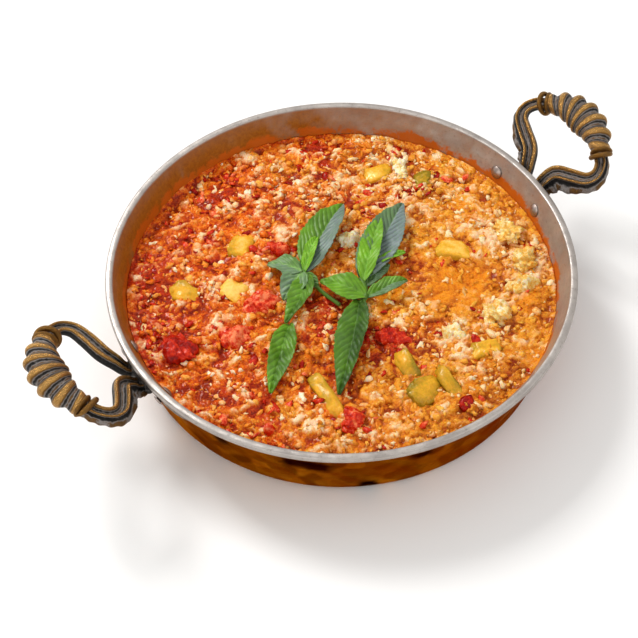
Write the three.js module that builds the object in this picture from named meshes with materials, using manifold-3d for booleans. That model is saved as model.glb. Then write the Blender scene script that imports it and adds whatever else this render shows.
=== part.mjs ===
// A dish of menemen: eggs scrambled with tomato and green pepper, served in the
// shallow tinned copper pan that it is cooked in, with two sprigs of mint on top.
//
// The pan is one hammered shell with a thick rim. Two cast brass handles, each a
// looped bail with a fluted shell in the middle of its grip, are held by two rivets
// apiece. The food fills the pan to a third of its depth below the rim.
//
// Millimetres, +Z up. The origin is the middle of the pan's flat base, and the two
// handles lie along the X axis.

import * as THREE from 'three';
import { mergeVertices } from 'three/addons/utils/BufferGeometryUtils.js';
import Module from 'manifold-3d';

const wasm = await Module();
wasm.setup();

const DEGREE = Math.PI / 180;
const GAP = 0.35; // between pieces that touch
const SOCKET_GAP = 0.6; // between the food and a piece sunk into it

// ---------------------------------------------------------------- driving sizes

const RIM_RADIUS = 110;
const RIM_WIDTH = 3.7;
const RIM_DROP = 3.5;
const PAN_HEIGHT = 44;
const WALL = 1.8;
const CORNER_RADIUS = 9;
const PAN_SEGMENTS = 56;

const FOOD_DEPTH = 14.5; // from the rim down to the food
const FOOD_LEVEL = PAN_HEIGHT - FOOD_DEPTH;
const FOOD_HEAP = 0.6; // how far the middle stands over the edge
const FOOD_SECTORS = 36;
const FOOD_RINGS = 10;

const HANDLE_TILT = 27 * DEGREE; // the loop's rise above the horizontal
const HANDLE_FOOT_RADIUS = 109;
const HANDLE_FOOT_HEIGHT = PAN_HEIGHT - 1;
const RIVET_DROP = 9.3; // from the rim down to a rivet's middle
const RIVET_ANGLE = 8.6 * DEGREE; // either side of the handle's middle

const SERVED_TURN = -31.7 * DEGREE; // how the food lies, against the handles' axis

// ------------------------------------------------------------- shapes and solids

// A closed surface through rings of points, with both ends closed by a fan.
function loft(rings) {
  const count = rings[0].length;
  const points = rings.flat();
  const index = [];
  for (let i = 0; i + 1 < rings.length; i++) {
    for (let j = 0; j < count; j++) {
      const a = i * count + j;
      const b = i * count + ((j + 1) % count);
      index.push(a, b, a + count, b, b + count, a + count);
    }
  }
  for (const [ring, start] of [[rings[0], 0], [rings.at(-1), (rings.length - 1) * count]]) {
    const middle = new THREE.Vector3();
    ring.forEach((p) => middle.addScaledVector(p, 1 / count));
    const centre = points.push(middle) - 1;
    for (let j = 0; j < count; j++) {
      const a = start + j;
      const b = start + ((j + 1) % count);
      index.push(...(start === 0 ? [centre, b, a] : [centre, a, b]));
    }
  }
  return new THREE.BufferGeometry().setFromPoints(points).setIndex(index);
}

// A thin sheet over a grid: surface(u, v) gives its middle, and both faces are
// split into triangles alike.
function thinSolid(stepsAlong, stepsAcross, thickness, surface) {
  const faces = [1, -1].map((side) => {
    const points = [];
    for (let i = 0; i <= stepsAlong; i++) {
      for (let j = 0; j <= stepsAcross; j++) {
        const p = surface(i / stepsAlong, (2 * j) / stepsAcross - 1);
        points.push(p.clone().add(new THREE.Vector3(0, 0, (side * thickness) / 2)));
      }
    }
    return points;
  });
  const row = stepsAcross + 1;
  const below = faces[0].length;
  const index = [];
  for (let i = 0; i < stepsAlong; i++) {
    for (let j = 0; j < stepsAcross; j++) {
      const a = i * row + j;
      const quad = [a, a + row, a + 1, a + 1, a + row, a + row + 1];
      index.push(...quad);
      index.push(...quad.map((k) => k + below).reverse());
    }
  }
  const edge = [];
  for (let j = 0; j < stepsAcross; j++) edge.push(j);
  for (let i = 0; i < stepsAlong; i++) edge.push(i * row + stepsAcross);
  for (let j = stepsAcross; j > 0; j--) edge.push(stepsAlong * row + j);
  for (let i = stepsAlong; i > 0; i--) edge.push(i * row);
  edge.forEach((a, k) => {
    const b = edge[(k + 1) % edge.length];
    index.push(a, b, a + below, b, b + below, a + below);
  });
  return new THREE.BufferGeometry().setFromPoints(faces.flat()).setIndex(index);
}

// A profile of [radius, height] pairs turned about Z.
function turned(profile, segments) {
  const points = profile.map(([r, z]) => new THREE.Vector2(r, z));
  return new THREE.LatheGeometry(points, segments).rotateX(Math.PI / 2);
}

function solidOf(geometry, matrix = new THREE.Matrix4()) {
  const bare = geometry.clone().applyMatrix4(matrix);
  for (const name of Object.keys(bare.attributes)) {
    if (name !== 'position') bare.deleteAttribute(name);
  }
  const merged = mergeVertices(bare, 1e-4);
  const make = (triVerts) => new wasm.Manifold(new wasm.Mesh({
    numProp: 3,
    vertProperties: merged.attributes.position.array,
    triVerts,
  }));
  const triangles = new Uint32Array(merged.index.array);
  const solid = make(triangles);
  return solid.volume() >= 0 ? solid : make(triangles.reverse());
}

function geometryOf(solid) {
  const mesh = solid.getMesh();
  const geometry = new THREE.BufferGeometry();
  geometry.setAttribute('position', new THREE.BufferAttribute(new Float32Array(mesh.vertProperties), 3));
  geometry.setIndex(new THREE.BufferAttribute(new Uint32Array(mesh.triVerts), 1));
  geometry.computeVertexNormals();
  return geometry;
}

const joined = (solids) => solids.reduce((whole, piece) => whole.add(piece));
const largestOf = (solid) => solid.decompose().reduce((a, b) => (a.volume() > b.volume() ? a : b));

// The matrix that puts a piece at a place, turned about X, Y and Z in degrees.
function placed(position, turns = [0, 0, 0], size = [1, 1, 1]) {
  const turn = new THREE.Quaternion().setFromEuler(new THREE.Euler(...turns.map((t) => t * DEGREE), 'ZYX'));
  return new THREE.Matrix4().compose(new THREE.Vector3(...position), turn, new THREE.Vector3(...size));
}

// Numbers from 0 to 1 that look random and are the same each time.
function seeded(seed) {
  let state = seed;
  return () => {
    state = (state * 1664525 + 1013904223) % 4294967296;
    return state / 4294967296;
  };
}

const copper = new THREE.MeshStandardMaterial({ color: 0xa06a2c, roughness: 0.38, metalness: 1 });
const brass = new THREE.MeshStandardMaterial({ color: 0x7d6238, roughness: 0.4, metalness: 1 });
const rivetMetal = new THREE.MeshStandardMaterial({ color: 0xb5a8a4, roughness: 0.45, metalness: 1 });
const sauce = new THREE.MeshStandardMaterial({ color: 0xd9541b, roughness: 0.35 });
const pepperFlesh = new THREE.MeshStandardMaterial({ color: 0xd59a1e, roughness: 0.25 });
const tomatoFlesh = new THREE.MeshStandardMaterial({ color: 0xc32a12, roughness: 0.25 });
const eggCurd = new THREE.MeshStandardMaterial({ color: 0xf3d9a0, roughness: 0.45 });
const mint = new THREE.MeshStandardMaterial({ color: 0x3f7d1c, roughness: 0.5 });

const dish = new THREE.Group();

function addPiece(name, geometry, material, parent = dish) {
  const mesh = new THREE.Mesh(geometry, material);
  mesh.name = name;
  parent.add(mesh);
  return mesh;
}

// --------------------------------------------------------------------------- pan

// The radius of the middle of the wall's thickness. The wall flares to the rim.
function wallMiddle(z) {
  const depth = PAN_HEIGHT - z;
  return RIM_RADIUS - RIM_WIDTH + WALL / 2 - 0.4 * depth + 0.004 * depth * depth;
}

const wallInside = (z) => wallMiddle(z) - WALL / 2;
const wallOutside = (z) => wallMiddle(z) + WALL / 2;

// A quarter round from the flat floor to the wall.
function corner(flatRadius, floor, radius, steps = 3) {
  return Array.from({ length: steps + 1 }, (_, i) => {
    const angle = (i / steps) * 90 * DEGREE;
    return [flatRadius + radius * Math.sin(angle), floor + radius * (1 - Math.cos(angle))];
  });
}

// The rim's bead, from its underside round to its inner edge.
function rimBead(steps = 6) {
  const middle = [RIM_RADIUS - RIM_WIDTH / 2, PAN_HEIGHT - RIM_DROP / 2];
  return Array.from({ length: steps }, (_, i) => {
    const angle = (-70 + (i / (steps - 1)) * 240) * DEGREE;
    const [c, s] = [Math.cos(angle), Math.sin(angle)];
    const squareness = Math.max(Math.abs(c), Math.abs(s)) ** 0.55;
    return [middle[0] + (RIM_WIDTH / 2) * (c / squareness), middle[1] + (RIM_DROP / 2) * (s / squareness)];
  }).map(([r, z]) => [Math.min(r, RIM_RADIUS), Math.min(z, PAN_HEIGHT)]);
}

const flatRadius = wallOutside(CORNER_RADIUS) - CORNER_RADIUS;

function makePan() {
  const outside = [18, 30, PAN_HEIGHT - RIM_DROP].map((z) => [wallOutside(z), z]);
  const inside = [PAN_HEIGHT - RIM_DROP, 30, 18].map((z) => [wallInside(z), z]);
  const innerCorner = corner(flatRadius, WALL, wallInside(CORNER_RADIUS) - flatRadius).reverse();
  return turned([
    [0, 0],
    ...corner(flatRadius, 0, CORNER_RADIUS),
    ...outside,
    ...rimBead(),
    ...inside,
    ...innerCorner,
    [0, WALL],
  ], PAN_SEGMENTS);
}

// ------------------------------------------------------------------------ rivets

const RIVET_HEAD = 3.3;
const RIVET_SHANK = 1.5;
const RIVET_SIDES = 8;
const STRAP_THICKNESS = 2.4;
const STRAP_EASE = 0.1; // between the strap's flat facets and the round wall
const RIVET_TAIL_AT = WALL / 2 + STRAP_THICKNESS + STRAP_EASE + 2 * GAP;

// A rivet along Z: a low dome inside the pan, a shank, and a peened tail.
function makeRivet() {
  const headAt = -WALL / 2 - GAP;
  return turned([
    [0, headAt - 1.4],
    [RIVET_HEAD * 0.7, headAt - 1],
    [RIVET_HEAD, headAt],
    [RIVET_SHANK, headAt],
    [RIVET_SHANK, RIVET_TAIL_AT],
    [RIVET_HEAD * 0.8, RIVET_TAIL_AT],
    [RIVET_HEAD * 0.5, RIVET_TAIL_AT + 0.8],
    [0, RIVET_TAIL_AT + 1],
  ], RIVET_SIDES);
}

// Where a rivet sits: on the wall's middle, pointing along the wall's outward normal.
function rivetPlace(angle) {
  const height = PAN_HEIGHT - RIVET_DROP;
  const slope = wallMiddle(height + 0.5) - wallMiddle(height - 0.5);
  const outward = new THREE.Vector3(Math.cos(angle), Math.sin(angle), -slope).normalize();
  const turn = new THREE.Quaternion().setFromUnitVectors(new THREE.Vector3(0, 0, 1), outward);
  const radius = wallMiddle(height);
  const position = new THREE.Vector3(radius * Math.cos(angle), radius * Math.sin(angle), height);
  return new THREE.Matrix4().compose(position, turn, new THREE.Vector3(1, 1, 1));
}

const rivetAngles = [-RIVET_ANGLE, RIVET_ANGLE];
const rivetHole = new THREE.CylinderGeometry(RIVET_SHANK + GAP, RIVET_SHANK + GAP, 16, RIVET_SIDES)
  .rotateX(Math.PI / 2);
const rivetSeat = new THREE.CylinderGeometry(RIVET_HEAD + GAP, RIVET_HEAD + GAP, 8, RIVET_SIDES)
  .rotateX(Math.PI / 2)
  .translate(0, 0, RIVET_TAIL_AT - GAP + 4);

// ----------------------------------------------------------------------- handles
// A handle is drawn in the plane of its loop: x runs outward from the wall, y along
// the wall, and z out of the plane, upwards. handlePlane then tilts it and sets it
// on the pan at +X.

const SHELL_PIVOT = 21; // the point that the shell's flutes fan out from
const SHELL_SPREAD = 62 * DEGREE;
const SHELL_FLUTES = 7;
const STRAP_HALF_ANGLE = 18.5 * DEGREE;
const STRAP_MIDDLE = PAN_HEIGHT - 10.2;
const STRAP_HALF_HEIGHT = 6;
const ARM_WIDTH = 9.4;
const ARM_THICKNESS = 6;

const handlePlane = new THREE.Matrix4()
  .makeTranslation(HANDLE_FOOT_RADIUS, 0, HANDLE_FOOT_HEIGHT)
  .multiply(new THREE.Matrix4().makeRotationY(-HANDLE_TILT));

const armPath = new THREE.CatmullRomCurve3([
  new THREE.Vector3(-5.5, 5, -8),
  new THREE.Vector3(0, 6, -6.8),
  new THREE.Vector3(4.5, 7.6, -4),
  new THREE.Vector3(10, 11, -1.4),
  new THREE.Vector3(14, 19, -0.3),
  new THREE.Vector3(18, 26, 0),
  new THREE.Vector3(23.7, 28.3, 0),
  new THREE.Vector3(29.7, 25.8, 0),
  new THREE.Vector3(33.5, 20.5, 0),
]);

// The arm's section, from its edge on the grip's side to its outer edge: two raised
// lips with a groove between them, then a skirt like the edge of a leaf.
const armLips = [
  [-0.5, 0],
  [-0.36, 0.5],
  [-0.12, 0.26],
  [0.14, 0.44],
  [0.36, 0.1],
];
const armSkirt = [[0.8, -0.3], [0.66, -0.56]];
const armFoot = [[-0.28, -0.5]];

function makeArm(steps = 13) {
  const up = new THREE.Vector3(0, 0, 1);
  const rings = [];
  for (let i = 0; i <= steps; i++) {
    const u = i / steps;
    const middle = armPath.getPointAt(u);
    const along = armPath.getTangentAt(u);
    const across = new THREE.Vector3().crossVectors(up, along).normalize();
    const lift = new THREE.Vector3().crossVectors(along, across);
    const size = 0.8 + 0.2 * Math.sin(Math.PI * Math.min(1, u * 1.2)) ** 2;
    const flare = Math.sin(Math.PI * Math.min(1, 0.15 + u)) * (0.85 + 0.15 * Math.sin(9 * Math.PI * u));
    const skirt = armSkirt.map(([x, y]) => [0.4 + (x - 0.4) * flare, y]);
    rings.push([...armLips, ...skirt, ...armFoot].map(([x, y]) => middle.clone()
      .addScaledVector(across, x * ARM_WIDTH * size)
      .addScaledVector(lift, y * ARM_THICKNESS * size)));
  }
  return loft(rings);
}

// The fluted shell: sections in planes through the pivot, swelling to the middle,
// with the flutes deepest on the far side.
function makeShell(stepsPerFlute = 3, around = 8) {
  const steps = SHELL_FLUTES * stepsPerFlute;
  const rings = [];
  for (let i = 0; i <= steps; i++) {
    const share = (i / steps) * 2 - 1;
    const angle = share * SHELL_SPREAD;
    const ridge = Math.abs(Math.sin((i / steps) * SHELL_FLUTES * Math.PI)) ** 0.7;
    const nearness = 1 - Math.abs(share) ** 1.8;
    const halfWidth = 4.4 + 5.6 * nearness;
    const halfThickness = 4 + 2.6 * nearness;
    const middle = 24.2 - 4.2 * nearness;
    rings.push(Array.from({ length: around }, (_, j) => {
      const turn = (j / around) * 2 * Math.PI;
      const outward = Math.cos(turn);
      const depth = 0.05 + 0.13 * (0.5 + 0.5 * outward);
      const flute = 1 - depth + depth * 1.25 * ridge;
      const radius = middle + halfWidth * outward * flute;
      return new THREE.Vector3(
        SHELL_PIVOT + radius * Math.cos(angle),
        radius * Math.sin(angle),
        halfThickness * Math.sin(turn) * flute,
      );
    }));
  }
  return loft(rings);
}

// A collar rolled round the grip, where an arm meets the shell.
function makeCollar() {
  const end = armPath.getPointAt(1);
  const along = armPath.getTangentAt(1);
  return new THREE.SphereGeometry(1, 8, 5).applyMatrix4(placed(
    [end.x, end.y, 0],
    [0, 0, Math.atan2(along.y, along.x) / DEGREE],
    [2.3, 6.6, 5.4],
  ));
}

// The strap that lies along the wall under the rim, pointed at both ends.
function makeStrap() {
  const steps = 12;
  const inset = GAP + STRAP_EASE;
  return solidOf(loft(Array.from({ length: steps + 1 }, (_, i) => {
    const share = (2 * i) / steps - 1;
    const angle = share * STRAP_HALF_ANGLE;
    const fullness = (1 - Math.abs(share) ** 2.2) ** 0.8;
    const half = 0.9 + (STRAP_HALF_HEIGHT - 0.9) * fullness;
    const thickness = 1.2 + (STRAP_THICKNESS - 1.2) * Math.min(1, fullness * 2);
    const at = (radius, z) => new THREE.Vector3(radius * Math.cos(angle), radius * Math.sin(angle), z);
    const [top, foot] = [STRAP_MIDDLE + half, STRAP_MIDDLE - half];
    return [
      at(wallOutside(top) + inset, top),
      at(wallOutside(foot) + inset, foot),
      at(wallOutside(foot) + inset + thickness * 0.6, foot),
      at(wallOutside(STRAP_MIDDLE) + inset + thickness, STRAP_MIDDLE),
      at(wallOutside(top) + inset + thickness * 0.6, top),
    ];
  })));
}

// The boss on the strap that both arms spring from, cut back clear of the wall.
function makeBoss() {
  const boss = new THREE.SphereGeometry(1, 9, 6).applyMatrix4(
    placed([wallOutside(STRAP_MIDDLE) + 2, 0, STRAP_MIDDLE], [0, 0, 0], [4.2, 10.5, 6]),
  );
  return solidOf(boss);
}

// One handle, on the +X side. Each is fitted by hand: reach lengthens its loop,
// sway moves the grip along the wall, and skew sets one side of it further out.
function makeHandle({ reach, sway, skew }) {
  const fitted = handlePlane.clone().multiply(new THREE.Matrix4().set(
    reach, skew, 0, 0,
    sway, 1, 0, 0,
    0, 0, 1, 0,
    0, 0, 0, 1,
  ));
  const mirrored = new THREE.Matrix4().makeScale(1, -1, 1);
  const half = [makeArm(), makeCollar()];
  const loop = [...half, ...half.map((g) => g.clone().applyMatrix4(mirrored)), makeShell()];
  let casting = joined([makeStrap(), makeBoss(), ...loop.map((g) => solidOf(g, fitted))]);
  const underRim = PAN_HEIGHT - RIM_DROP - GAP;
  const room = turned([
    [0, 0],
    ...[0, 15, 30, underRim].map((z) => [wallOutside(z) + GAP, z]),
    [RIM_RADIUS + GAP, underRim],
    [RIM_RADIUS + GAP, PAN_HEIGHT + 2],
    [0, PAN_HEIGHT + 2],
  ], PAN_SEGMENTS);
  casting = casting.subtract(solidOf(room));
  for (const angle of rivetAngles) {
    casting = casting.subtract(solidOf(rivetHole, rivetPlace(angle)));
    casting = casting.subtract(solidOf(rivetSeat, rivetPlace(angle)));
  }
  return geometryOf(largestOf(casting));
}

// -------------------------------------------------------------------------- food
// The food is drawn as the viewer sees it, x to the right and y away, in a group
// that is turned against the handles' axis.

const served = new THREE.Group();
served.rotation.z = SERVED_TURN;
dish.add(served);

// The height of the food's surface over its level: heaped a little to the middle,
// with a slow rise and fall.
function swell(x, y) {
  return FOOD_HEAP * (1 - (x * x + y * y) / 9000)
    + 0.8 * Math.sin(0.07 * x + 0.6) * Math.cos(0.06 * y - 0.5)
    + 0.6 * Math.sin(0.13 * x - 0.09 * y + 2)
    + 0.45 * Math.sin(0.11 * y + 0.17 * x)
    + 0.35 * Math.cos(0.23 * y - 0.19 * x + 1);
}

// The food without its pieces: flat below, against the pan, and rolling on top.
function makeSauce() {
  const edge = wallInside(FOOD_LEVEL) - GAP - 0.5;
  const top = Array.from({ length: FOOD_RINGS + 1 }, (_, i) => [edge * (i / FOOD_RINGS), FOOD_LEVEL]);
  const side = [20, CORNER_RADIUS + 1].map((z) => [wallInside(z) - GAP - 0.2, z]);
  const foot = corner(flatRadius, WALL + GAP, wallInside(CORNER_RADIUS) - flatRadius - 0.6, 2).reverse().slice(1);
  const body = turned([...top, ...side, ...foot, [0, WALL + GAP]], FOOD_SECTORS);
  const position = body.attributes.position;
  for (let i = 0; i < position.count; i++) {
    if (position.getZ(i) > FOOD_LEVEL - 0.01) {
      const [x, y] = [position.getX(i), position.getY(i)];
      const calm = 1 - (Math.hypot(x, y) / edge) ** 6;
      position.setZ(i, FOOD_LEVEL + swell(x, y) * calm);
    }
  }
  return solidOf(body);
}

// A curd or shred: a twenty-sided lump, flattened and turned.
function lump(size, grow = 0) {
  const half = size.map((s) => s / 2 + grow);
  return new THREE.IcosahedronGeometry(1, 0).applyMatrix4(placed([0, 0, 0], [0, 0, 0], half));
}

// A cut piece of pepper: a slab with worn corners, arched along its length and
// across its width.
function slab(size, bend, grow = 0) {
  const [length, width, thickness] = size.map((s) => s + 2 * grow);
  const cut = new THREE.BoxGeometry(length, width, thickness, 4, 2, 1);
  const position = cut.attributes.position;
  for (let i = 0; i < position.count; i++) {
    const [x, y, z] = [position.getX(i), position.getY(i), position.getZ(i)];
    const along = (2 * x) / length;
    const across = (2 * y) / width;
    const arch = bend * ((x * x) / size[0] + (y * y) / size[1] / 2);
    position.setXYZ(
      i,
      x * (1 - 0.12 * Math.abs(across) ** 3),
      y * (1 - 0.16 * Math.abs(along) ** 3),
      z * (1 - 0.15 * along * along) - arch + bend * size[0] * 0.08,
    );
  }
  return cut;
}

// The pieces large enough to lift out with a fork. at is their middle on the
// surface, turn their heading in degrees, tip their lean and sunk how far their
// middle lies below the surface.
const pieces = {
  pepper_gold_left: { make: slab, at: [-48, 24], size: [14, 12, 5], bend: 0.5, turn: 80, tip: [8, -6], sunk: -0.4 },
  pepper_gold_right: { make: slab, at: [54, 20], size: [16, 11, 5], bend: 0.4, turn: -12, tip: [-6, 4], sunk: -0.5 },
  pepper_green_back: { make: slab, at: [42, 66], size: [13, 9, 4.5], bend: 0.6, turn: 84, tip: [-10, 5], sunk: 0 },
  pepper_amber: { make: slab, at: [-51, -3], size: [13, 11, 4.5], bend: 0.5, turn: 62, tip: [6, 8], sunk: 0.2 },
  pepper_left: { make: slab, at: [-74, -4], size: [15, 11, 4.5], bend: 0.7, turn: -28, tip: [5, -5], sunk: 0.3 },
  pepper_strip_a: { make: slab, at: [28, -49], size: [17, 8, 4], bend: 0.8, turn: -64, tip: [24, 6], sunk: -1 },
  pepper_wedge: { make: slab, at: [37, -64], size: [16, 13, 4.5], bend: 0.5, turn: 38, tip: [16, 10], sunk: -1 },
  pepper_strip_b: { make: slab, at: [47, -60], size: [21, 6.5, 4], bend: 0.8, turn: -58, tip: [28, 4], sunk: -1.2 },
  pepper_long: { make: slab, at: [-8, -66], size: [27, 7, 4], bend: 0.6, turn: -62, tip: [18, 5], sunk: -0.8 },
  pepper_right: { make: slab, at: [65, -41], size: [15, 9, 4.5], bend: 0.5, turn: 8, tip: [4, -8], sunk: 0 },
  pepper_gold_back: { make: slab, at: [20, 74], size: [14, 10, 4.5], bend: 0.4, turn: 20, tip: [-6, -4], sunk: 0 },
  egg_white_middle: { make: lump, at: [4.5, 26], size: [9.5, 8, 7], turn: 30, tip: [10, 0], sunk: 0.2 },
  egg_right: { make: lump, at: [71, -20], size: [15, 12, 7], turn: 60, tip: [0, 8], sunk: -0.6 },
  egg_edge_back: { make: lump, at: [81, 31], size: [17, 12, 8], turn: 125, tip: [6, 0], sunk: -0.8 },
  egg_edge_middle: { make: lump, at: [88, 12], size: [15, 11, 8], turn: 80, tip: [0, -6], sunk: -0.8 },
  egg_edge_front: { make: lump, at: [85, -4], size: [16, 9, 7], turn: 10, tip: [4, 4], sunk: -0.5 },
  egg_curl: { make: lump, at: [51, -31], size: [11, 7, 5], turn: -20, tip: [0, 10], sunk: -0.3 },
  egg_white_back: { make: lump, at: [31, 75], size: [15, 7, 6], turn: 100, tip: [0, 0], sunk: -0.4 },
  tomato_pink: { make: lump, at: [-49, -32], size: [15, 12, 8], turn: 15, tip: [6, 6], sunk: 0 },
  tomato_left: { make: lump, at: [-76, -39], size: [18, 13, 8], turn: -35, tip: [0, -6], sunk: 0.2 },
  tomato_middle: { make: lump, at: [-37, -11], size: [17, 12, 8], turn: 25, tip: [4, 0], sunk: -0.3 },
  tomato_mint: { make: lump, at: [-30, 22], size: [13, 9, 7], turn: 10, tip: [0, 0], sunk: 0 },
  tomato_right: { make: lump, at: [23, -34], size: [15, 9, 7], turn: -15, tip: [0, 5], sunk: 0 },
  tomato_front: { make: lump, at: [3, -80], size: [14, 10, 7], turn: 75, tip: [5, 0], sunk: 0 },
};

const looks = { pepper: pepperFlesh, tomato: tomatoFlesh, egg: eggCurd };

function pieceSolid({ make, at, size, bend, turn, tip, sunk }, grow = 0) {
  const shape = make === slab ? slab(size, bend, grow) : lump(size, grow);
  const height = FOOD_LEVEL + swell(...at) - sunk;
  return solidOf(shape, placed([...at, height], [...tip, turn]));
}

// The small curds and shreds that are fused to the sauce: a spiral that spreads
// them evenly, shaken a little, out to the wall and clear of the large pieces.
function smallPieces() {
  const random = seeded(11);
  const count = 40;
  const goldenAngle = 137.5 * DEGREE;
  const made = [];
  for (let i = 0; i < count; i++) {
    const radius = 94 * Math.sqrt((i + 0.5) / count);
    const angle = i * goldenAngle + 0.3 * (random() - 0.5);
    const at = [radius * Math.cos(angle), radius * Math.sin(angle)];
    const size = [5 + 5 * random(), 4 + 3 * random(), 3.4 + 2 * random()];
    const matrix = placed([...at, FOOD_LEVEL + swell(...at) - 0.4], [0, 0, 360 * random()]);
    const clear = Object.values(pieces).every((p) => Math.hypot(p.at[0] - at[0], p.at[1] - at[1]) > 11);
    if (clear && radius < 93) made.push(solidOf(lump(size), matrix));
  }
  return made;
}

// -------------------------------------------------------------------------- mint

const LEAF_THICKNESS = 0.8;

// A mint leaf from its stalk to its tip, heights over the food's level: widest
// before its middle, arched, bowed to one side, folded up along its midrib, rolled
// over sideways, and waved at its edges.
function leaf({ from, to, width, across = 4, arch = 2.5, bow = 0, fold = 18, roll = 0, wave = 0.6 }) {
  const start = new THREE.Vector3(...from);
  const chord = new THREE.Vector3(...to).sub(start);
  const side = new THREE.Vector3(-chord.y, chord.x, 0).normalize();
  const tip = roll * DEGREE;
  const steps = Math.round(3.5 + chord.length() / 14);
  return thinSolid(steps, across, LEAF_THICKNESS, (u, v) => {
    const hump = Math.sin(Math.PI * u);
    const halfWidth = 0.7 + (width / 2 - 0.7) * Math.sin(Math.PI * u ** 0.78) ** 0.85;
    const out = v * halfWidth;
    const rise = Math.abs(out) * Math.tan(fold * DEGREE) + wave * Math.abs(v) * Math.sin(8 * u + 2 * v);
    return start.clone()
      .addScaledVector(chord, u)
      .addScaledVector(side, bow * hump + out * Math.cos(tip * hump) - rise * Math.sin(tip * hump))
      .setZ(from[2] + chord.z * u + arch * hump + out * Math.sin(tip * hump) + rise * Math.cos(tip * hump));
  });
}

function stem(points, radius) {
  const path = new THREE.CatmullRomCurve3(points.map((p) => new THREE.Vector3(...p)));
  const section = new THREE.Shape().absarc(0, 0, radius, 0, 2 * Math.PI);
  return new THREE.ExtrudeGeometry(section, { steps: 5, curveSegments: 3, extrudePath: path });
}

const sprigs = {
  mint_leaf_loose: [
    leaf({ from: [-24.4, -25.6, 2], to: [-32.8, -65.4, 2.2], width: 12, arch: 2, fold: 20, roll: -14 }),
  ],
  mint_sprig_left: [
    stem([[-19, 7, 2.8], [-16, 3, 2.8], [-9.5, -6.5, 2.5], [-1, -15, 2.4]], 1.1),
    leaf({ from: [-16.6, 5.8, 3], to: [1.8, 47.2, 5], width: 19, bow: 1, fold: 20, roll: -12 }),
    leaf({ from: [-17.5, 5.3, 3.5], to: [-11.1, 23.8, 7], width: 6, across: 2, fold: 30 }),
    leaf({ from: [-18.5, 4.9, 4], to: [-34.8, 10, 3.5], width: 13, across: 2, arch: 1.5, fold: 12, roll: 8 }),
    leaf({ from: [-18.5, 4.2, 4], to: [-27.2, -12, 3], width: 13, across: 2, arch: 1.8, fold: 12, roll: -6 }),
    leaf({ from: [-15.7, 3, 3.4], to: [-26.2, -26.4, 4.2], width: 11, arch: 2.4, bow: 2, fold: 24, roll: 12 }),
    leaf({ from: [-16.6, 3.8, 3], to: [-11.2, -4.6, 3.2], width: 6, across: 2, arch: 0.8, fold: 14 }),
  ],
  mint_sprig_right: [
    stem([[9, -1, 3.6], [10.8, -7, 4.2], [11, -12, 3.8], [8.3, -16, 3.6]], 1.3),
    leaf({ from: [9.2, -1, 3.6], to: [30.9, 47, 4.5], width: 19, bow: -0.6, fold: 16, roll: 10 }),
    leaf({ from: [10.1, -2.8, 4.5], to: [19.4, 33.9, 8.5], width: 11, across: 2, arch: 2, fold: 24, roll: -8 }),
    leaf({ from: [11, -4.7, 3], to: [22.9, 8.7, 3], width: 8, across: 2, arch: 1, fold: 18 }),
    leaf({ from: [15, 6.5, 4.5], to: [30.6, 13.5, 6], width: 5, across: 2, arch: 1.4, fold: 26 }),
    leaf({ from: [12.1, -11.9, 4], to: [30.9, -3.2, 5], width: 8, across: 2, arch: 1.8, fold: 26, roll: 10 }),
    leaf({ from: [11.7, -12.7, 4.5], to: [-9.9, -2.6, 5], width: 13, arch: 2.2, fold: 12, roll: -8 }),
    leaf({ from: [8.3, -13.3, 3.4], to: [-2.4, -66.6, 1.6], width: 15, bow: 1.2, fold: 20, roll: 16 }),
  ],
};

// Lowers a solid on to what is below it, and leaves a small gap.
function laidOn(solid, below) {
  const step = 0.35;
  let height = 12;
  while (height > -4 && solid.translate([0, 0, height - step]).intersect(below).isEmpty()) height -= step;
  return solid.translate([0, 0, height]);
}

// ---------------------------------------------------------------------- assembly

let shell = solidOf(makePan());
for (const side of [0, Math.PI]) {
  for (const angle of rivetAngles) shell = shell.subtract(solidOf(rivetHole, rivetPlace(side + angle)));
}
addPiece('pan', geometryOf(shell), copper);

addPiece('handle_right', makeHandle({ reach: 0.93, sway: 0.07, skew: 0 }), brass);
addPiece('handle_left', makeHandle({ reach: 1.05, sway: -0.02, skew: 0.07 }), brass).rotation.z = Math.PI;

const rivetShape = makeRivet();
for (const [side, turn] of [['right', 0], ['left', Math.PI]]) {
  rivetAngles.forEach((angle, i) => {
    const rivet = addPiece(`rivet_${side}_${i + 1}`, rivetShape, rivetMetal);
    rivet.applyMatrix4(rivetPlace(turn + angle));
  });
}

let food = joined([makeSauce(), ...smallPieces()]);
let pile = food;
for (const [name, piece] of Object.entries(pieces)) {
  food = food.subtract(pieceSolid(piece, SOCKET_GAP));
  const solid = pieceSolid(piece);
  pile = pile.add(solid);
  addPiece(name, geometryOf(solid), looks[name.split('_')[0]], served);
}
addPiece('menemen', geometryOf(largestOf(food)), sauce, served);

for (const [name, parts] of Object.entries(sprigs)) {
  const sprig = joined(parts.map((g) => solidOf(g))).translate([0, 0, FOOD_LEVEL]);
  const solid = laidOn(largestOf(sprig), pile);
  pile = pile.add(solid);
  addPiece(name, geometryOf(solid), mint, served);
}

export default dish;
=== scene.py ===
# A dish of menemen: eggs scrambled with tomato and green pepper, served in the
# shallow tinned copper pan that it is cooked in, with mint on top. Sizes are worked
# out in millimetres and go into the meshes in metres.

import math

import bmesh
import bpy
import numpy as np
from mathutils import Euler, Matrix, Vector


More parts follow.
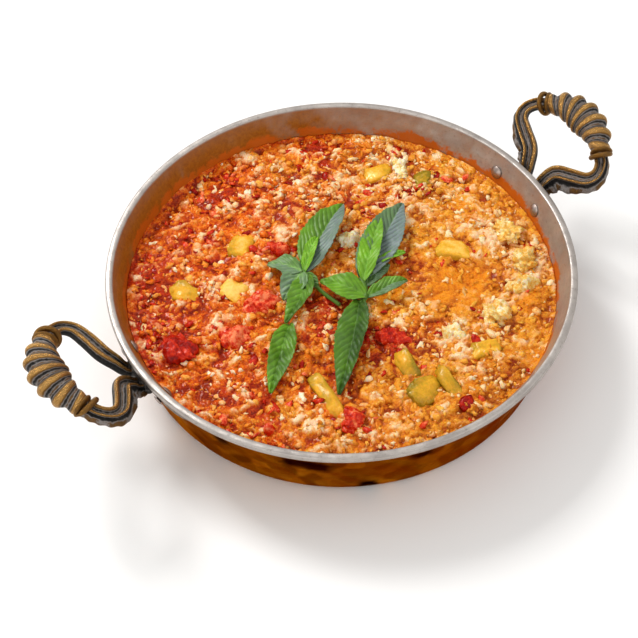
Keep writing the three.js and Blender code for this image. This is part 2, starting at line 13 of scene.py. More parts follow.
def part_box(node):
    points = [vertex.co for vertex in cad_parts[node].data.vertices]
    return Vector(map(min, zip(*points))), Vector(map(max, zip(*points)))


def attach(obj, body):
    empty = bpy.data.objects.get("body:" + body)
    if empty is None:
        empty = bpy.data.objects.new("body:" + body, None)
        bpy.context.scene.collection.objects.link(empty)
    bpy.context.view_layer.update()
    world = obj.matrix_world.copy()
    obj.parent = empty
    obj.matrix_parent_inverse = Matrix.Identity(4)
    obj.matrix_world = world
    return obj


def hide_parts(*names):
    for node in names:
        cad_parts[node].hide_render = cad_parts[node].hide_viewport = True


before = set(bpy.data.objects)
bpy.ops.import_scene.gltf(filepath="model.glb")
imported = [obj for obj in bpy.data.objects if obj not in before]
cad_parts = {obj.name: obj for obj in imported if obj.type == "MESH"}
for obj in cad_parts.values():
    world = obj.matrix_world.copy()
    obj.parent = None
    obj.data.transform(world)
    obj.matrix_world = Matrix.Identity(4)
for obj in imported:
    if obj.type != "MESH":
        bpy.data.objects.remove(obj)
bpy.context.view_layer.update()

# ---------------------------------------------------------------- the view and light
# The dish is seen from the front and well above, turned so that one handle comes
# forward on the left and the other goes back on the right. It stands on a plain pale
# table in soft window light from the back left.

MM = 0.001  # a millimetre, in the metres of the meshes
SERVED_TURN = math.radians(-31.7)  # the diner's right hand, against the handles' axis
VIEW_RISE = math.radians(50.59)
VIEW_ROLL = math.radians(-0.89)
VIEW_DISTANCE = 699.1
VIEW_AIM = (-10.74, -33.28, 44)
VIEW_LENS = 87.46  # for a picture 36 mm across


def from_diner(points):
    """Millimetres as the diner sees them, x right and y away, turned about Z, in metres."""
    c, s = math.cos(SERVED_TURN), math.sin(SERVED_TURN)
    turn = np.array([[c, -s, 0], [s, c, 0], [0, 0, 1]])
    return np.asarray(points, float) @ turn.T * MM


back = np.array([0, -math.cos(VIEW_RISE), math.sin(VIEW_RISE)])
level = np.array([0, math.sin(VIEW_RISE), math.cos(VIEW_RISE)])
right = np.array([math.cos(VIEW_ROLL), 0, 0]) + level * math.sin(VIEW_ROLL)
up = np.array([-math.sin(VIEW_ROLL), 0, 0]) + level * math.cos(VIEW_ROLL)
lens = bpy.data.cameras.new("camera")
lens.sensor_width = 36
lens.lens = VIEW_LENS
lens.clip_start = 0.01
lens.dof.use_dof = False
camera = bpy.data.objects.new("camera", lens)
axes = np.array([from_diner(a) / MM for a in (right, up, back)]).T
stand = Matrix.Translation(from_diner(np.array(VIEW_AIM) + back * VIEW_DISTANCE))
camera.matrix_world = stand @ Matrix(axes.tolist()).to_4x4()
bpy.context.scene.collection.objects.link(camera)
bpy.context.scene.camera = camera
bpy.context.scene.view_settings.view_transform = "Standard"
bpy.context.scene.view_settings.look = "Medium High Contrast"


def soft_light(name, place, aim, size, power):
    """A square soft box at a place, in metres as the diner sees it, facing its aim."""
    lamp = bpy.data.lights.new(name, "AREA")
    lamp.size, lamp.energy = size, power
    box = bpy.data.objects.new(name, lamp)
    place, aim = (Vector(from_diner(np.array(p) / MM)) for p in (place, aim))
    box.location = place
    box.rotation_euler = (aim - place).to_track_quat("-Z", "Y").to_euler()
    bpy.context.scene.collection.objects.link(box)


soft_light("window", (-0.7, 0.75, 1.1), (0, 0, 0), 0.5, 13)
soft_light("room", (0.9, -0.3, 1.0), (0, 0, 0), 1.2, 3.5)
soft_light("front", (-0.5, -1.0, 0.7), (0, 0, 0.02), 1.0, 3.5)
sky = bpy.data.worlds.new("room_light")
sky.use_nodes = True
sky.node_tree.nodes["Background"].inputs["Color"].default_value = (1, 1, 1, 1)
sky.node_tree.nodes["Background"].inputs["Strength"].default_value = 0.52
bpy.context.scene.world = sky


def linear(sheet_color):
    """An sRGB hex colour as linear red, green, blue, and an alpha of 1: a part up to
    0.04045 over 12.92, and any other plus 0.055, over 1.055, to the power of 2.4."""
    parts = [int(sheet_color[i : i + 2], 16) / 255 for i in (1, 3, 5)]
    return tuple(p / 12.92 if p <= 0.04045 else ((p + 0.055) / 1.055) ** 2.4 for p in parts) + (1.0,)


def node(tree, kind, links=(), **settings):
    """Adds a node. A setting named in_X sets the input X, any other sets a property,
    and links lists (output socket, this node's input) pairs."""
    made = tree.nodes.new(kind)
    for key, value in settings.items():
        if key.startswith("in_"):
            socket = made.inputs[int(key[3:])] if key[3:].isdigit() else made.inputs[key[3:].replace("_", " ")]
            socket.default_value = value
        else:
            setattr(made, key, value)
    for source, target in links:
        tree.links.new(source, made.inputs[target])
    return made


def finish_named(name, **settings):
    """A new material of this name, its node tree, and its surface shader, with each
    setting on the shader's own input of that name."""
    material = bpy.data.materials.new(name)
    material.use_nodes = True
    shader = material.node_tree.nodes["Principled BSDF"]
    for key, value in settings.items():
        shader.inputs[key.replace("_", " ")].default_value = value
    return material, material.node_tree, shader


table_paint, tree, shader = finish_named("white_table", Base_Color=linear("#F4F3F1"), Roughness=0.6)
table_mesh = bpy.data.meshes.new("table")
table_mesh.from_pydata([(-4, -4, 0), (4, -4, 0), (4, 4, 0), (-4, 4, 0)], [], [(0, 1, 2, 3)])
table_mesh.materials.append(table_paint)
table = bpy.data.objects.new("table", table_mesh)
bpy.context.scene.collection.objects.link(table)

# ------------------------------------------------------------------------- the pan
# A sahan: one disc of copper, beaten up into a shallow pan, with a thick rolled rim.
# The outside is bare copper, brown with use and reddened by heat, and redder and darker
# at the front right with painted shade and a painted reflection of a red-brown mat below.
# The inside and the rim are wiped with tin, which has worn, and is browned above the
# food, most to the left: partly oil stain, partly a painted reflection of the orange food.

RIM_RADIUS = 110
RIM_WIDTH = 3.7
RIM_DROP = 3.5
PAN_HEIGHT = 44
WALL = 1.8
CORNER_RADIUS = 9
BEAD_FROM, BEAD_ARC = -70, 240  # degrees round the rim, from the outer wall to the inner
TIN_STEP = 3  # the step round the rim at which the tin begins
STAIN_AND_REFLECTION_STEP = 11  # the step after that, past the rim's top, where oil stain and painted reflection begin
HAMMER_MARK = 7  # mm between hammer marks
HAMMER_DENT = 0.22
OUT_OF_ROUND = 0.25
# Where flame has blackened it: the bearing in degrees as the diner sees it, the height
# in mm and the width in degrees.
BURNS = [(-103, 28, 4), (-98, 27, 5), (-71, 29, 3.5), (-84, 6, 3), (-122, 29, 2.5), (60, 28, 4)]


def wall_middle(z):
    """The wall's radius: it flares from the corner, more steeply towards the rim."""
    depth = PAN_HEIGHT - z
    return RIM_RADIUS - RIM_WIDTH + WALL / 2 - 0.4 * depth + 0.004 * depth**2


def drift(x, y, size, seed):
    """Smooth noise from -1 to 1: random heights on a square lattice, eased between."""
    heights = np.random.default_rng(seed).uniform(-1, 1, (256, 256))
    u, v = np.asarray(x) / size, np.asarray(y) / size
    i, j = np.floor(u).astype(int), np.floor(v).astype(int)
    fu, fv = u - i, v - j
    fu, fv = fu * fu * (3 - 2 * fu), fv * fv * (3 - 2 * fv)
    i, j = i % 255, j % 255
    near = heights[i, j] * (1 - fu) + heights[i + 1, j] * fu
    far = heights[i, j + 1] * (1 - fu) + heights[i + 1, j + 1] * fu
    return near * (1 - fv) + far * fv


def closed_tube(rings):
    """Points and faces of rings of points, (rings, round, 3), each joined to the next,
    with each end closed to the middle of its last ring."""
    rings = np.asarray(rings, float)
    rows, count = rings.shape[:2]
    points = np.vstack([rings.reshape(-1, 3), rings[0].mean(0)[None], rings[-1].mean(0)[None]])
    i, j = np.meshgrid(np.arange(rows - 1), np.arange(count), indexing="ij")
    a, b = i * count + j, i * count + (j + 1) % count
    quads = np.stack([a, b, b + count, a + count], -1).reshape(-1, 4)
    j = np.arange(count)
    k = (j + 1) % count
    last = (rows - 1) * count
    foot = np.stack([np.full(count, rows * count), k, j], -1)
    head = np.stack([np.full(count, rows * count + 1), last + j, last + k], -1)
    return points, quads.tolist() + foot.tolist() + head.tolist()


def with_ends(values):
    """A grid's values as one row, then for each closed end the mean of its last ring."""
    return np.append(values.ravel(), [values[0].mean(), values[-1].mean()])


def add_piece(name, bodies, materials, replaces, fields=None, face_material=None):
    """One object from closed bodies, each (points in metres, faces), with fields as
    vertex attributes. It rides on the dish, and stands for the solids named."""
    points, faces, start = [], [], 0
    for body_points, body_faces in bodies:
        points.append(body_points)
        faces += [[v + start for v in f] for f in body_faces]
        start += len(body_points)
    mesh = bpy.data.meshes.new(name)
    mesh.from_pydata(np.vstack(points).tolist(), [], faces)
    for material in materials:
        mesh.materials.append(material)
    for key, values in (fields or {}).items():
        mesh.attributes.new(key, "FLOAT", "POINT").data.foreach_set("value", np.asarray(values, np.float32))
    if face_material is not None:
        mesh.polygons.foreach_set("material_index", np.asarray(face_material, np.int32))
    work = bmesh.new()
    work.from_mesh(mesh)
    bmesh.ops.remove_doubles(work, verts=work.verts, dist=1e-7)
    bmesh.ops.recalc_face_normals(work, faces=work.faces)
    work.to_mesh(mesh)
    work.free()
    mesh.polygons.foreach_set("use_smooth", np.full(len(mesh.polygons), True))
    made = bpy.data.objects.new(name, mesh)
    bpy.context.scene.collection.objects.link(made)
    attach(made, "root")
    if replaces:
        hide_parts(*replaces)


def pan_profile():
    """Radius and height from under the middle of the base, round the rim, to the middle
    of the floor, and the step at which the tin begins: straight runs, quarter rounds,
    and for the rim an ellipse pushed out halfway to its square."""
    t = np.linspace(0, 1, 14)[:, None]
    flat = wall_middle(CORNER_RADIUS) + WALL / 2 - CORNER_RADIUS
    turn = t * math.pi / 2
    base = np.hstack([t * flat, 0 * t])
    outer_corner = np.hstack([flat + CORNER_RADIUS * np.sin(turn), CORNER_RADIUS * (1 - np.cos(turn))])
    z = CORNER_RADIUS + (PAN_HEIGHT - RIM_DROP - CORNER_RADIUS) * t
    outer_wall = np.hstack([wall_middle(z) + WALL / 2, z])
    turn = np.radians(BEAD_FROM + BEAD_ARC * np.linspace(0, 1, 20))[:, None]
    square = np.maximum(np.abs(np.cos(turn)), np.abs(np.sin(turn))) ** 0.5
    bead_x = RIM_RADIUS - RIM_WIDTH / 2 + RIM_WIDTH / 2 * np.cos(turn) / square * 0.99
    bead_z = PAN_HEIGHT - RIM_DROP / 2 + RIM_DROP / 2 * np.sin(turn) / square * 0.99
    inner_wall = np.hstack([wall_middle(z) - WALL / 2, z])[::-1]
    radius = wall_middle(CORNER_RADIUS) - WALL / 2 - flat
    turn = t[::-1] * math.pi / 2
    inner_corner = np.hstack([flat + radius * np.sin(turn), WALL + CORNER_RADIUS * (1 - np.cos(turn))])
    floor = np.hstack([t[::-1] * flat, 0 * t + WALL])
    outside = [base[1:], outer_corner[1:], outer_wall[1:]]
    inside = [inner_wall[1:], inner_corner[1:], floor[1:-1]]
    return np.vstack(outside + [np.hstack([bead_x, bead_z])] + inside), sum(map(len, outside)) + TIN_STEP


profile, tin_from = pan_profile()
around = np.linspace(0, 2 * math.pi, 420, endpoint=False)
radius, height = profile[:, :1], profile[:, 1:]
beaten = HAMMER_DENT * drift(np.cos(around) * 110 + 0 * radius, height * 1.5 + np.sin(around) * 110, 8, 3)
beaten = beaten * np.clip((height - 2) / 8, 0, 1) * (radius < 106)
out_of_round = OUT_OF_ROUND * (np.cos(2 * around - 1) - 1)
reach = radius + (beaten + out_of_round) * (radius > 60)
pan_rings = np.stack([reach * np.cos(around), reach * np.sin(around), height + 0 * around], -1)
pan_points, pan_faces = closed_tube(pan_rings * MM)

# Where oil has browned the tin, with a painted reflection of the orange food, where sauce
# has splashed it, where flame has blackened the outside, and where heat has reddened it,
# with painted shade and a painted reflection of a red-brown mat at the front right: each
# a value by the bearing and the height, broken up by noise that is wound round the wall,
# so that it meets itself.
bearing = (np.degrees(around) - math.degrees(SERVED_TURN) + 180) % 360 - 180 + 0 * height
inside = (np.arange(len(profile)) >= tin_from)[:, None] + 0 * bearing
wound_x, wound_y = 108 * np.cos(around) + 0.9 * height, 108 * np.sin(around) - 0.9 * height
patchy = drift(wound_x, wound_y, 9, 5) * 0.3 + drift(wound_x, wound_y, 3.4, 6) * 0.25
# Browner to the left and the back left, below the rim's top: partly baked-on oil, partly a painted reflection of the
# orange food in the tin.
bearings = (-180, -150, -100, -60, -20, 30, 55, 75, 95, 115, 180)
browned_and_reflecting = np.interp(bearing, bearings, (1, 0.95, 0.6, 0.35, 0.15, 0.1, 0.2, 0.45, 0.8, 1, 1))
low = np.clip(43.4 - height, 0, 1) * (np.arange(len(profile)) >= tin_from + STAIN_AND_REFLECTION_STEP)[:, None]
stain = np.clip(browned_and_reflecting * 1.15 + patchy * 0.8, 0, 1) * low
splash = np.exp(-((height - 31) / 3.6) ** 2) * (0.75 + patchy * 1.6)
streak = np.exp(-(((bearing - 66) / 20) ** 2)) * np.clip((height - 30) / 6, 0, 1) * low
splash = np.clip(splash + np.clip(patchy * 2.4 - 0.25, 0, 1) * streak * 1.2, 0, 1)
burnt = np.zeros_like(bearing)
for place, tall, wide in BURNS:
    burnt = np.maximum(burnt, np.exp(-(((bearing - place) / wide) ** 2) - ((height - tall) / 6) ** 2))
burnt = np.clip(burnt * 2.2 + patchy * 1.4 - 0.5, 0, 1)
# Redder at the front right and the right: partly heat colour, partly painted shade and a painted reflection of a
# red-brown mat below the pan.
heat_red_and_painted_reflection = np.interp(bearing, (-180, -120, -85, -40, 0, 90, 180), (0.3, 0.05, 0.3, 0.75, 0.6, 0.4, 0.3))
heat_red_and_painted_reflection = np.clip(heat_red_and_painted_reflection + patchy, 0, 0.9)
pan_fields = {"stain": stain * inside, "splash": splash * inside, "burnt": burnt, "heat_red_and_painted_reflection": heat_red_and_painted_reflection}
pan_fields = {key: with_ends(values) for key, values in pan_fields.items()}
quads = (len(profile) - 1) * len(around)
pan_material = np.zeros(len(pan_faces), int)
pan_material[:quads] = np.repeat(np.arange(len(profile) - 1) >= tin_from, len(around))
pan_material[-len(around) :] = 1

# Copper, hammered and handled: brown-gold, with shallow overlapping hammer marks and
# a duller skin in patches of 11 mm. A pattern's scale counts how many there are in a
# metre.
copper, tree, shader = finish_named("hammered_copper", Metallic=1, Specular_Tint=linear("#D8B088"))
place = node(tree, "ShaderNodeTexCoord").outputs["Object"]
heat_red_and_reflection, soot = (
    node(tree, "ShaderNodeAttribute", attribute_name=key).outputs["Fac"] for key in ("heat_red_and_painted_reflection", "burnt")
)
skin = node(tree, "ShaderNodeTexNoise", [(place, "Vector")], in_Scale=90, in_Detail=6, in_Roughness=0.6)
shades = dict(data_type="RGBA", in_6=linear("#9A560E"), in_7=linear("#EAA640"))
color = node(tree, "ShaderNodeMix", [(skin.outputs["Fac"], "Factor")], **shades).outputs[2]
beats = dict(feature="SMOOTH_F1", in_Scale=1000 / HAMMER_MARK)
facets = node(tree, "ShaderNodeTexVoronoi", [(place, "Vector")], **beats, in_Smoothness=0.5)
span = dict(in_1=0.15, in_2=0.85, in_3=0.0, in_4=0.75)
struck = node(tree, "ShaderNodeMapRange", [(facets.outputs["Color"], "Value")], **span).outputs[0]
# The red brown laid on by the reddened value is partly heat colour, partly painted shade and a painted reflection of a
# red-brown mat at the front right.
for share, over in ((struck, "#5A3204"), (heat_red_and_reflection, "#8C3A0A"), (soot, "#0E0A08")):
    links = [(share, "Factor"), (color, 6)]
    color = node(tree, "ShaderNodeMix", links, data_type="RGBA", in_7=linear(over)).outputs[2]
tree.links.new(color, shader.inputs["Base Color"])
dull = node(tree, "ShaderNodeMapRange", [(skin.outputs["Fac"], "Value")], in_3=0.24, in_4=0.5)
tree.links.new(dull.outputs[0], shader.inputs["Roughness"])
marks = node(tree, "ShaderNodeTexVoronoi", [(place, "Vector")], **beats, in_Smoothness=0.35)
beat = node(tree, "ShaderNodeBump", [(marks.outputs["Distance"], "Height")], in_Strength=0.5, in_Distance=0.0012)
links = [(skin.outputs["Fac"], "Height"), (beat.outputs[0], "Normal")]
pits = node(tree, "ShaderNodeBump", links, in_Strength=0.25, in_Distance=0.0005)
tree.links.new(pits.outputs[0], shader.inputs["Normal"])

# Tin, wiped on hot: pale warm grey in clouds of 14 mm, flecked at 1.5 mm and scratched
# by spoons along the wall, with brown oil baked on to it, a painted reflection of the
# orange food in the same brown, and splashes of the sauce.
tin, tree, shader = finish_named("wiped_tin")
place = node(tree, "ShaderNodeTexCoord").outputs["Object"]
baked_and_reflected, spilt = (
    node(tree, "ShaderNodeAttribute", attribute_name=key).outputs["Fac"] for key in ("stain", "splash")
)
cloud = node(tree, "ShaderNodeTexNoise", [(place, "Vector")], in_Scale=70, in_Detail=7, in_Roughness=0.65)
fleck = node(tree, "ShaderNodeTexNoise", [(place, "Vector")], in_Scale=650, in_Detail=5, in_Roughness=0.7)
scratch_at = node(tree, "ShaderNodeMapping", [(place, "Vector")], in_Scale=(1, 1, 9))
scratch = node(tree, "ShaderNodeTexNoise", [(scratch_at.outputs[0], "Vector")], in_Scale=160, in_Detail=5)
shades = dict(data_type="RGBA", in_6=linear("#847C78"), in_7=linear("#D4CCC4"))
clean = node(tree, "ShaderNodeMix", [(cloud.outputs["Fac"], "Factor")], **shades)
speck = node(tree, "ShaderNodeMapRange", [(fleck.outputs["Fac"], "Value")], in_1=0.55, in_2=0.75, in_4=0.6)
links = [(speck.outputs[0], "Factor"), (clean.outputs[2], 6)]
dusty = node(tree, "ShaderNodeMix", links, data_type="RGBA", in_7=linear("#6E5D52"))
# The brown of the baked-on oil and of the painted reflection of the food.
shades = dict(data_type="RGBA", in_6=linear("#6A3202"), in_7=linear("#B8781A"))
brown = node(tree, "ShaderNodeMix", [(fleck.outputs["Fac"], "Factor")], **shades)
links = [(baked_and_reflected, "Factor"), (dusty.outputs[2], 6), (brown.outputs[2], 7)]
oily_and_reflecting = node(tree, "ShaderNodeMix", links, data_type="RGBA")
wet_edge = node(tree, "ShaderNodeMath", [(spilt, 0), (fleck.outputs["Fac"], 1)], operation="ADD")
wet = node(tree, "ShaderNodeMapRange", [(wet_edge.outputs[0], "Value")], in_1=0.82, in_2=1.12)
links = [(wet.outputs[0], "Factor"), (oily_and_reflecting.outputs[2], 6)]
splashed = node(tree, "ShaderNodeMix", links, data_type="RGBA", in_7=linear("#B9600F"))
tree.links.new(splashed.outputs[2], shader.inputs["Base Color"])
covered = node(tree, "ShaderNodeMath", [(wet.outputs[0], 0), (baked_and_reflected, 1)], operation="MAXIMUM")
bare = node(tree, "ShaderNodeMath", [(covered.outputs[0], 1)], operation="SUBTRACT", in_0=1.0)
metal = node(tree, "ShaderNodeMath", [(bare.outputs[0], 0)], operation="MULTIPLY", in_1=0.6)
tree.links.new(metal.outputs[0], shader.inputs["Metallic"])
span = dict(in_1=0.3, in_2=0.7, in_3=0.3, in_4=0.52)
satin = node(tree, "ShaderNodeMapRange", [(scratch.outputs["Fac"], "Value")], **span)
tree.links.new(satin.outputs[0], shader.inputs["Roughness"])
dents = node(tree, "ShaderNodeTexVoronoi", [(place, "Vector")], **beats, in_Smoothness=0.6)
dented = node(tree, "ShaderNodeBump", [(dents.outputs["Distance"], "Height")], in_Strength=0.35, in_Distance=0.001)
links = [(fleck.outputs["Fac"], "Height"), (dented.outputs[0], "Normal")]
grit = node(tree, "ShaderNodeBump", links, in_Strength=0.3, in_Distance=0.0004)
tree.links.new(grit.outputs[0], shader.inputs["Normal"])

add_piece("beaten_pan", [(pan_points, pan_faces)], [copper, tin], ["pan"], pan_fields, pan_material)

# --------------------------------------------------------------------- the rivets
# Tinned copper rivets: a low dome inside the pan, the shank through wall and strap,
# and a tail peened flat outside.

RIVET_DROP = 9.3  # from the rim down to them
RIVET_BEARINGS = (-8.6, 8.6, 171.4, 188.6)
HEAD_RADIUS, HEAD_DOME, HEAD_AT = 3.3, 1.35, -1.25  # along the rivet from the wall's middle
TAIL_RADIUS, TAIL_DOME, TAIL_AT = 2.7, 0.9, 4.1
SHANK_RADIUS = 1.5


def rivet_rings():
    """A rivet along Z, as rings: a dome's height falls as the square of its radius."""
    r = np.linspace(0.02, 1, 9)
    dome = np.stack([HEAD_RADIUS * r, HEAD_AT - HEAD_DOME * (1 - r**2)], -1)
    tail = np.stack([TAIL_RADIUS * r[::-1] ** 0.8, TAIL_AT + TAIL_DOME * (1 - r[::-1] ** 2)], -1)
    line = np.vstack([dome, [[SHANK_RADIUS, HEAD_AT + 0.05], [SHANK_RADIUS, TAIL_AT - 0.05]], tail])
    turn = np.linspace(0, 2 * math.pi, 28, endpoint=False)
    r, z = line[:, :1], line[:, 1:]
    return np.stack([r * np.cos(turn), r * np.sin(turn), z + 0 * turn], -1)


rivets = []
rivet_level = PAN_HEIGHT - RIVET_DROP
slope = wall_middle(rivet_level + 0.5) - wall_middle(rivet_level - 0.5)
for angle in np.radians(RIVET_BEARINGS):
    out = Vector((math.cos(angle), math.sin(angle), -slope)).normalized()
    turn = np.array(Vector((0, 0, 1)).rotation_difference(out).to_matrix())
    spot = wall_middle(rivet_level) * np.array([math.cos(angle), math.sin(angle), 0])
    spot[2] = rivet_level
    rivets.append(closed_tube((rivet_rings() @ turn.T + spot) * MM))

# Tin on copper, dulled by washing: warm grey with a tarnish in flecks of 2 mm.
rivet_tin, tree, shader = finish_named("tinned_rivet", Metallic=0.95, Roughness=0.42)
place = node(tree, "ShaderNodeTexCoord").outputs["Object"]
tarnish = node(tree, "ShaderNodeTexNoise", [(place, "Vector")], in_Scale=500, in_Detail=5)
shades = dict(data_type="RGBA", in_6=linear("#7D6A60"), in_7=linear("#CFC3BC"))
worn = node(tree, "ShaderNodeMix", [(tarnish.outputs["Fac"], "Factor")], **shades)
tree.links.new(worn.outputs[2], shader.inputs["Base Color"])
tapped = node(tree, "ShaderNodeBump", [(tarnish.outputs["Fac"], "Height")], in_Strength=0.4, in_Distance=0.0004)
tree.links.new(tapped.outputs[0], shader.inputs["Normal"])
rivet_solids = [f"rivet_{side}_{i}" for side in ("right", "left") for i in (1, 2)]
add_piece("rivets", rivets, [rivet_tin], rivet_solids)

# -------------------------------------------------------------------- the handles
# Cast brass bails, each in one piece with the strap that is riveted under the rim:
# two grooved arms like rolled leaves, and between them a grip like a scallop shell.
# Age has blackened the hollows and hands have kept the ridges gold.

HANDLE_TILT = math.radians(27)
HANDLE_FOOT = (109, 0, PAN_HEIGHT - 1)
ARM_WIDTH = 9.4
ARM_THICKNESS = 6
ARM_PATH = [(-5.5, 5, -8), (0, 6, -6.8), (4.5, 7.6, -4), (10, 11, -1.4), (14, 19, -0.3)]
ARM_PATH += [(18, 26, 0), (23.7, 28.3, 0), (29.7, 25.8, 0), (33.5, 20.5, 0)]
# The arm's section in widths and thicknesses: outer lip, groove, inner lip, then skirt.
ARM_SECTION = [(-0.5, 0), (-0.44, 0.4), (-0.34, 0.46), (-0.24, 0.3), (-0.1, 0.1), (0.04, 0.12)]
ARM_SECTION += [(0.16, 0.36), (0.26, 0.42), (0.34, 0.14), (0.8, -0.3), (0.66, -0.56), (-0.28, -0.5)]
SHELL_PIVOT = 21
SHELL_SPREAD = math.radians(62)
SHELL_FLUTES = 7
SHELL_RING = (24.2, 20.0)  # from the pivot to the shell's middle line, at its ends and between
SHELL_HALF_WIDTH = (4.4, 9.35)
SHELL_HALF_HEIGHT = (4.0, 6.6)
STRAP_MIDDLE = PAN_HEIGHT - 10.2


def smooth_line(points, count, closed=False):
    """A Catmull-Rom curve through points, at a number of even steps of its parameter."""
    p = np.asarray(points, float)
    p = np.vstack([p[-1:], p, p[:2]]) if closed else np.vstack([2 * p[0] - p[1], p, 2 * p[-1] - p[-2]])
    spans = len(p) - 3
    t = np.linspace(0, spans, count, endpoint=not closed)
    i = np.minimum(t.astype(int), spans - 1)
    f = (t - i)[:, None]
    a, b, c, d = p[i], p[i + 1], p[i + 2], p[i + 3]
    return 0.5 * (2 * b + (c - a) * f + (2 * a - 5 * b + 4 * c - d) * f**2 + (3 * b - a - 3 * c + d) * f**3)


def unit(vectors):
    """Each vector over its own length."""
    return vectors / np.linalg.norm(vectors, axis=-1, keepdims=True)


def carried(path, across, lift, x, y):
    """A section carried along a path: its x along the path's across, its y along its lift."""
    return path[:, None] + x[..., None] * across[:, None] + y[..., None] * lift[:, None]


def handle_arm():
    """The arm's section carried along its path: two lips with a groove, and a skirt
    that flares and ripples like a leaf's edge. Also how much each point is rubbed."""
    path = smooth_line(ARM_PATH, 120)
    u = np.linspace(0, 1, len(path))[:, None]
    along = unit(np.gradient(path, axis=0))
    across = unit(np.cross((0, 0, 1), along))
    lift = np.cross(along, across)
    size = 0.8 + 0.2 * np.sin(math.pi * np.minimum(1, u * 1.2)) ** 2
    flare = np.sin(math.pi * np.minimum(1, 0.15 + u)) * (0.85 + 0.15 * np.sin(9 * math.pi * u))
    section = smooth_line(ARM_SECTION, 72, closed=True)
    x, y = section[:, 0][None], section[:, 1][None]
    leafy = np.clip((x - 0.4) / 0.2, 0, 1)
    x = np.where(x > 0.4, 0.4 + (x - 0.4) * flare, x)
    y = y + leafy * 0.07 * np.sin(30 * math.pi * u + 4 * x) - leafy * 0.04
    points = carried(path, across, lift, x * ARM_WIDTH * size, y * ARM_THICKNESS * size)
    in_groove = np.exp(-(((x + 0.05) / 0.09) ** 2)) * (y > -0.2)
    rubbed = np.clip((y - 0.2) / 0.2, 0, 1) + 0.42 * leafy + 0.42 * in_groove
    rubbed = np.clip(rubbed + 0.12 * np.sin(37 * u) * leafy, 0, 1)
    return points, rubbed


def between_ridges(ridge):
    """How far hands have rubbed a flute: not at all in its hollow, wholly on its ridge."""
    return np.clip((ridge - 0.4) / 0.5, 0, 1)


def handle_shell():
    """The shell: ovals about a pivot, swelling to the middle of the grip, cut by flutes
    that deepen to the far side and slant a little. The ridges are rubbed most."""
    share = np.linspace(-1, 1, SHELL_FLUTES * 18 + 1)[:, None]
    turn = np.linspace(0, 2 * math.pi, 56, endpoint=False)[None]
    angle = share * SHELL_SPREAD
    ridge = np.abs(np.sin((share + 1) / 2 * SHELL_FLUTES * math.pi)) ** 1.5
    nearness = 1 - np.abs(share) ** 1.8
    outward, upward = np.cos(turn), np.sin(turn)
    depth = 0.12 + 0.17 * (0.5 + 0.5 * outward)
    flute = 1 - depth + depth * 1.08 * ridge
    slanted = angle + 0.032 * upward * nearness
    ring, wide, high = (a + (b - a) * nearness for a, b in (SHELL_RING, SHELL_HALF_WIDTH, SHELL_HALF_HEIGHT))
    radius = ring + wide * outward * flute
    points = [SHELL_PIVOT + radius * np.cos(slanted), radius * np.sin(slanted), high * upward * flute]
    grey = 0.45 * np.clip(1 - ridge / 0.3, 0, 1)
    return np.stack(points, -1), np.maximum(between_ridges(ridge), grey) + 0 * turn


def ball(middle, sizes, turn=0.0, rows=20, count=32):
    """An ellipsoid as rings from end to end along its own x, turned about Z."""
    a = np.linspace(0.03, math.pi - 0.03, rows)[:, None]
    b = np.linspace(0, 2 * math.pi, count, endpoint=False)[None]
    x, y = -np.cos(a) * sizes[0] + 0 * b, np.sin(a) * np.cos(b) * sizes[1]
    z = np.sin(a) * np.sin(b) * sizes[2]
    c, s = math.cos(turn), math.sin(turn)
    return np.stack([middle[0] + c * x - s * y, middle[1] + s * x + c * y, middle[2] + z], -1)


def volute(end, heading):
    """The scroll at an arm's end: a cord wound two thirds of the way round the arm,
    which runs back along it as it goes and thins to both of its ends."""
    t = np.linspace(-1, 1, 60)[:, None]
    a = 2.15 * t + 0.5 * math.pi
    x, y, z = np.hstack([3.6 * t**2 - 3.4, 5.2 * np.cos(a), 4.3 * np.sin(a)]).T
    c, s = math.cos(heading), math.sin(heading)
    path = np.stack([end[0] + c * x - s * y, end[1] + s * x + c * y, z], -1)
    along = unit(np.gradient(path, axis=0))
    across = unit(np.cross(along, path - (end[0], end[1], 0)))
    lift = np.cross(across, along)
    turn = np.linspace(0, 2 * math.pi, 20, endpoint=False)[None]
    size = 1.3 * (1 - 0.6 * t**4) + 0 * turn
    return carried(path, across, lift, size * np.cos(turn), size * np.sin(turn))


def handle_strap():
    """The strap along the wall, a leaf's outline: its height falls off as a power of
    the bearing, and its face is highest along the middle."""
    share = np.linspace(-1, 1, 60)[:, None]
    angle = share * math.radians(18.5)
    fullness = (1 - np.abs(share) ** 2.2) ** 0.8
    half = 0.9 + 5.1 * fullness
    thickness = 1.2 + 1.2 * np.minimum(1, fullness * 2)
    up_face = np.linspace(1, -1, 9)
    inner = np.stack([up_face, 0 * up_face])
    outer = np.stack([up_face[::-1], 1 - 0.45 * np.abs(up_face[::-1]) ** 2.5])
    side = np.hstack([inner, outer])
    z = STRAP_MIDDLE + half * side[0][None]
    radius = wall_middle(z) + WALL / 2 + 0.45 + thickness * side[1][None]
    rubbed = np.clip(side[1][None] - 0.5 * drift(angle * 300, z, 5, 2), 0, 1) * 0.35
    return np.stack([radius * np.cos(angle), radius * np.sin(angle), z], -1), rubbed


def fitted(points, reach, sway, skew):
    """Points drawn in the loop's plane, fitted as one handle was, tilted, and set on
    the pan. reach lengthens it, sway moves it along the wall and skew turns it."""
    x = reach * points[..., 0] + skew * points[..., 1]
    y = points[..., 1] + sway * points[..., 0]
    c, s = math.cos(HANDLE_TILT), math.sin(HANDLE_TILT)
    z = points[..., 2]
    return np.stack([HANDLE_FOOT[0] + c * x - s * z, y, HANDLE_FOOT[2] + s * x + c * z], -1)


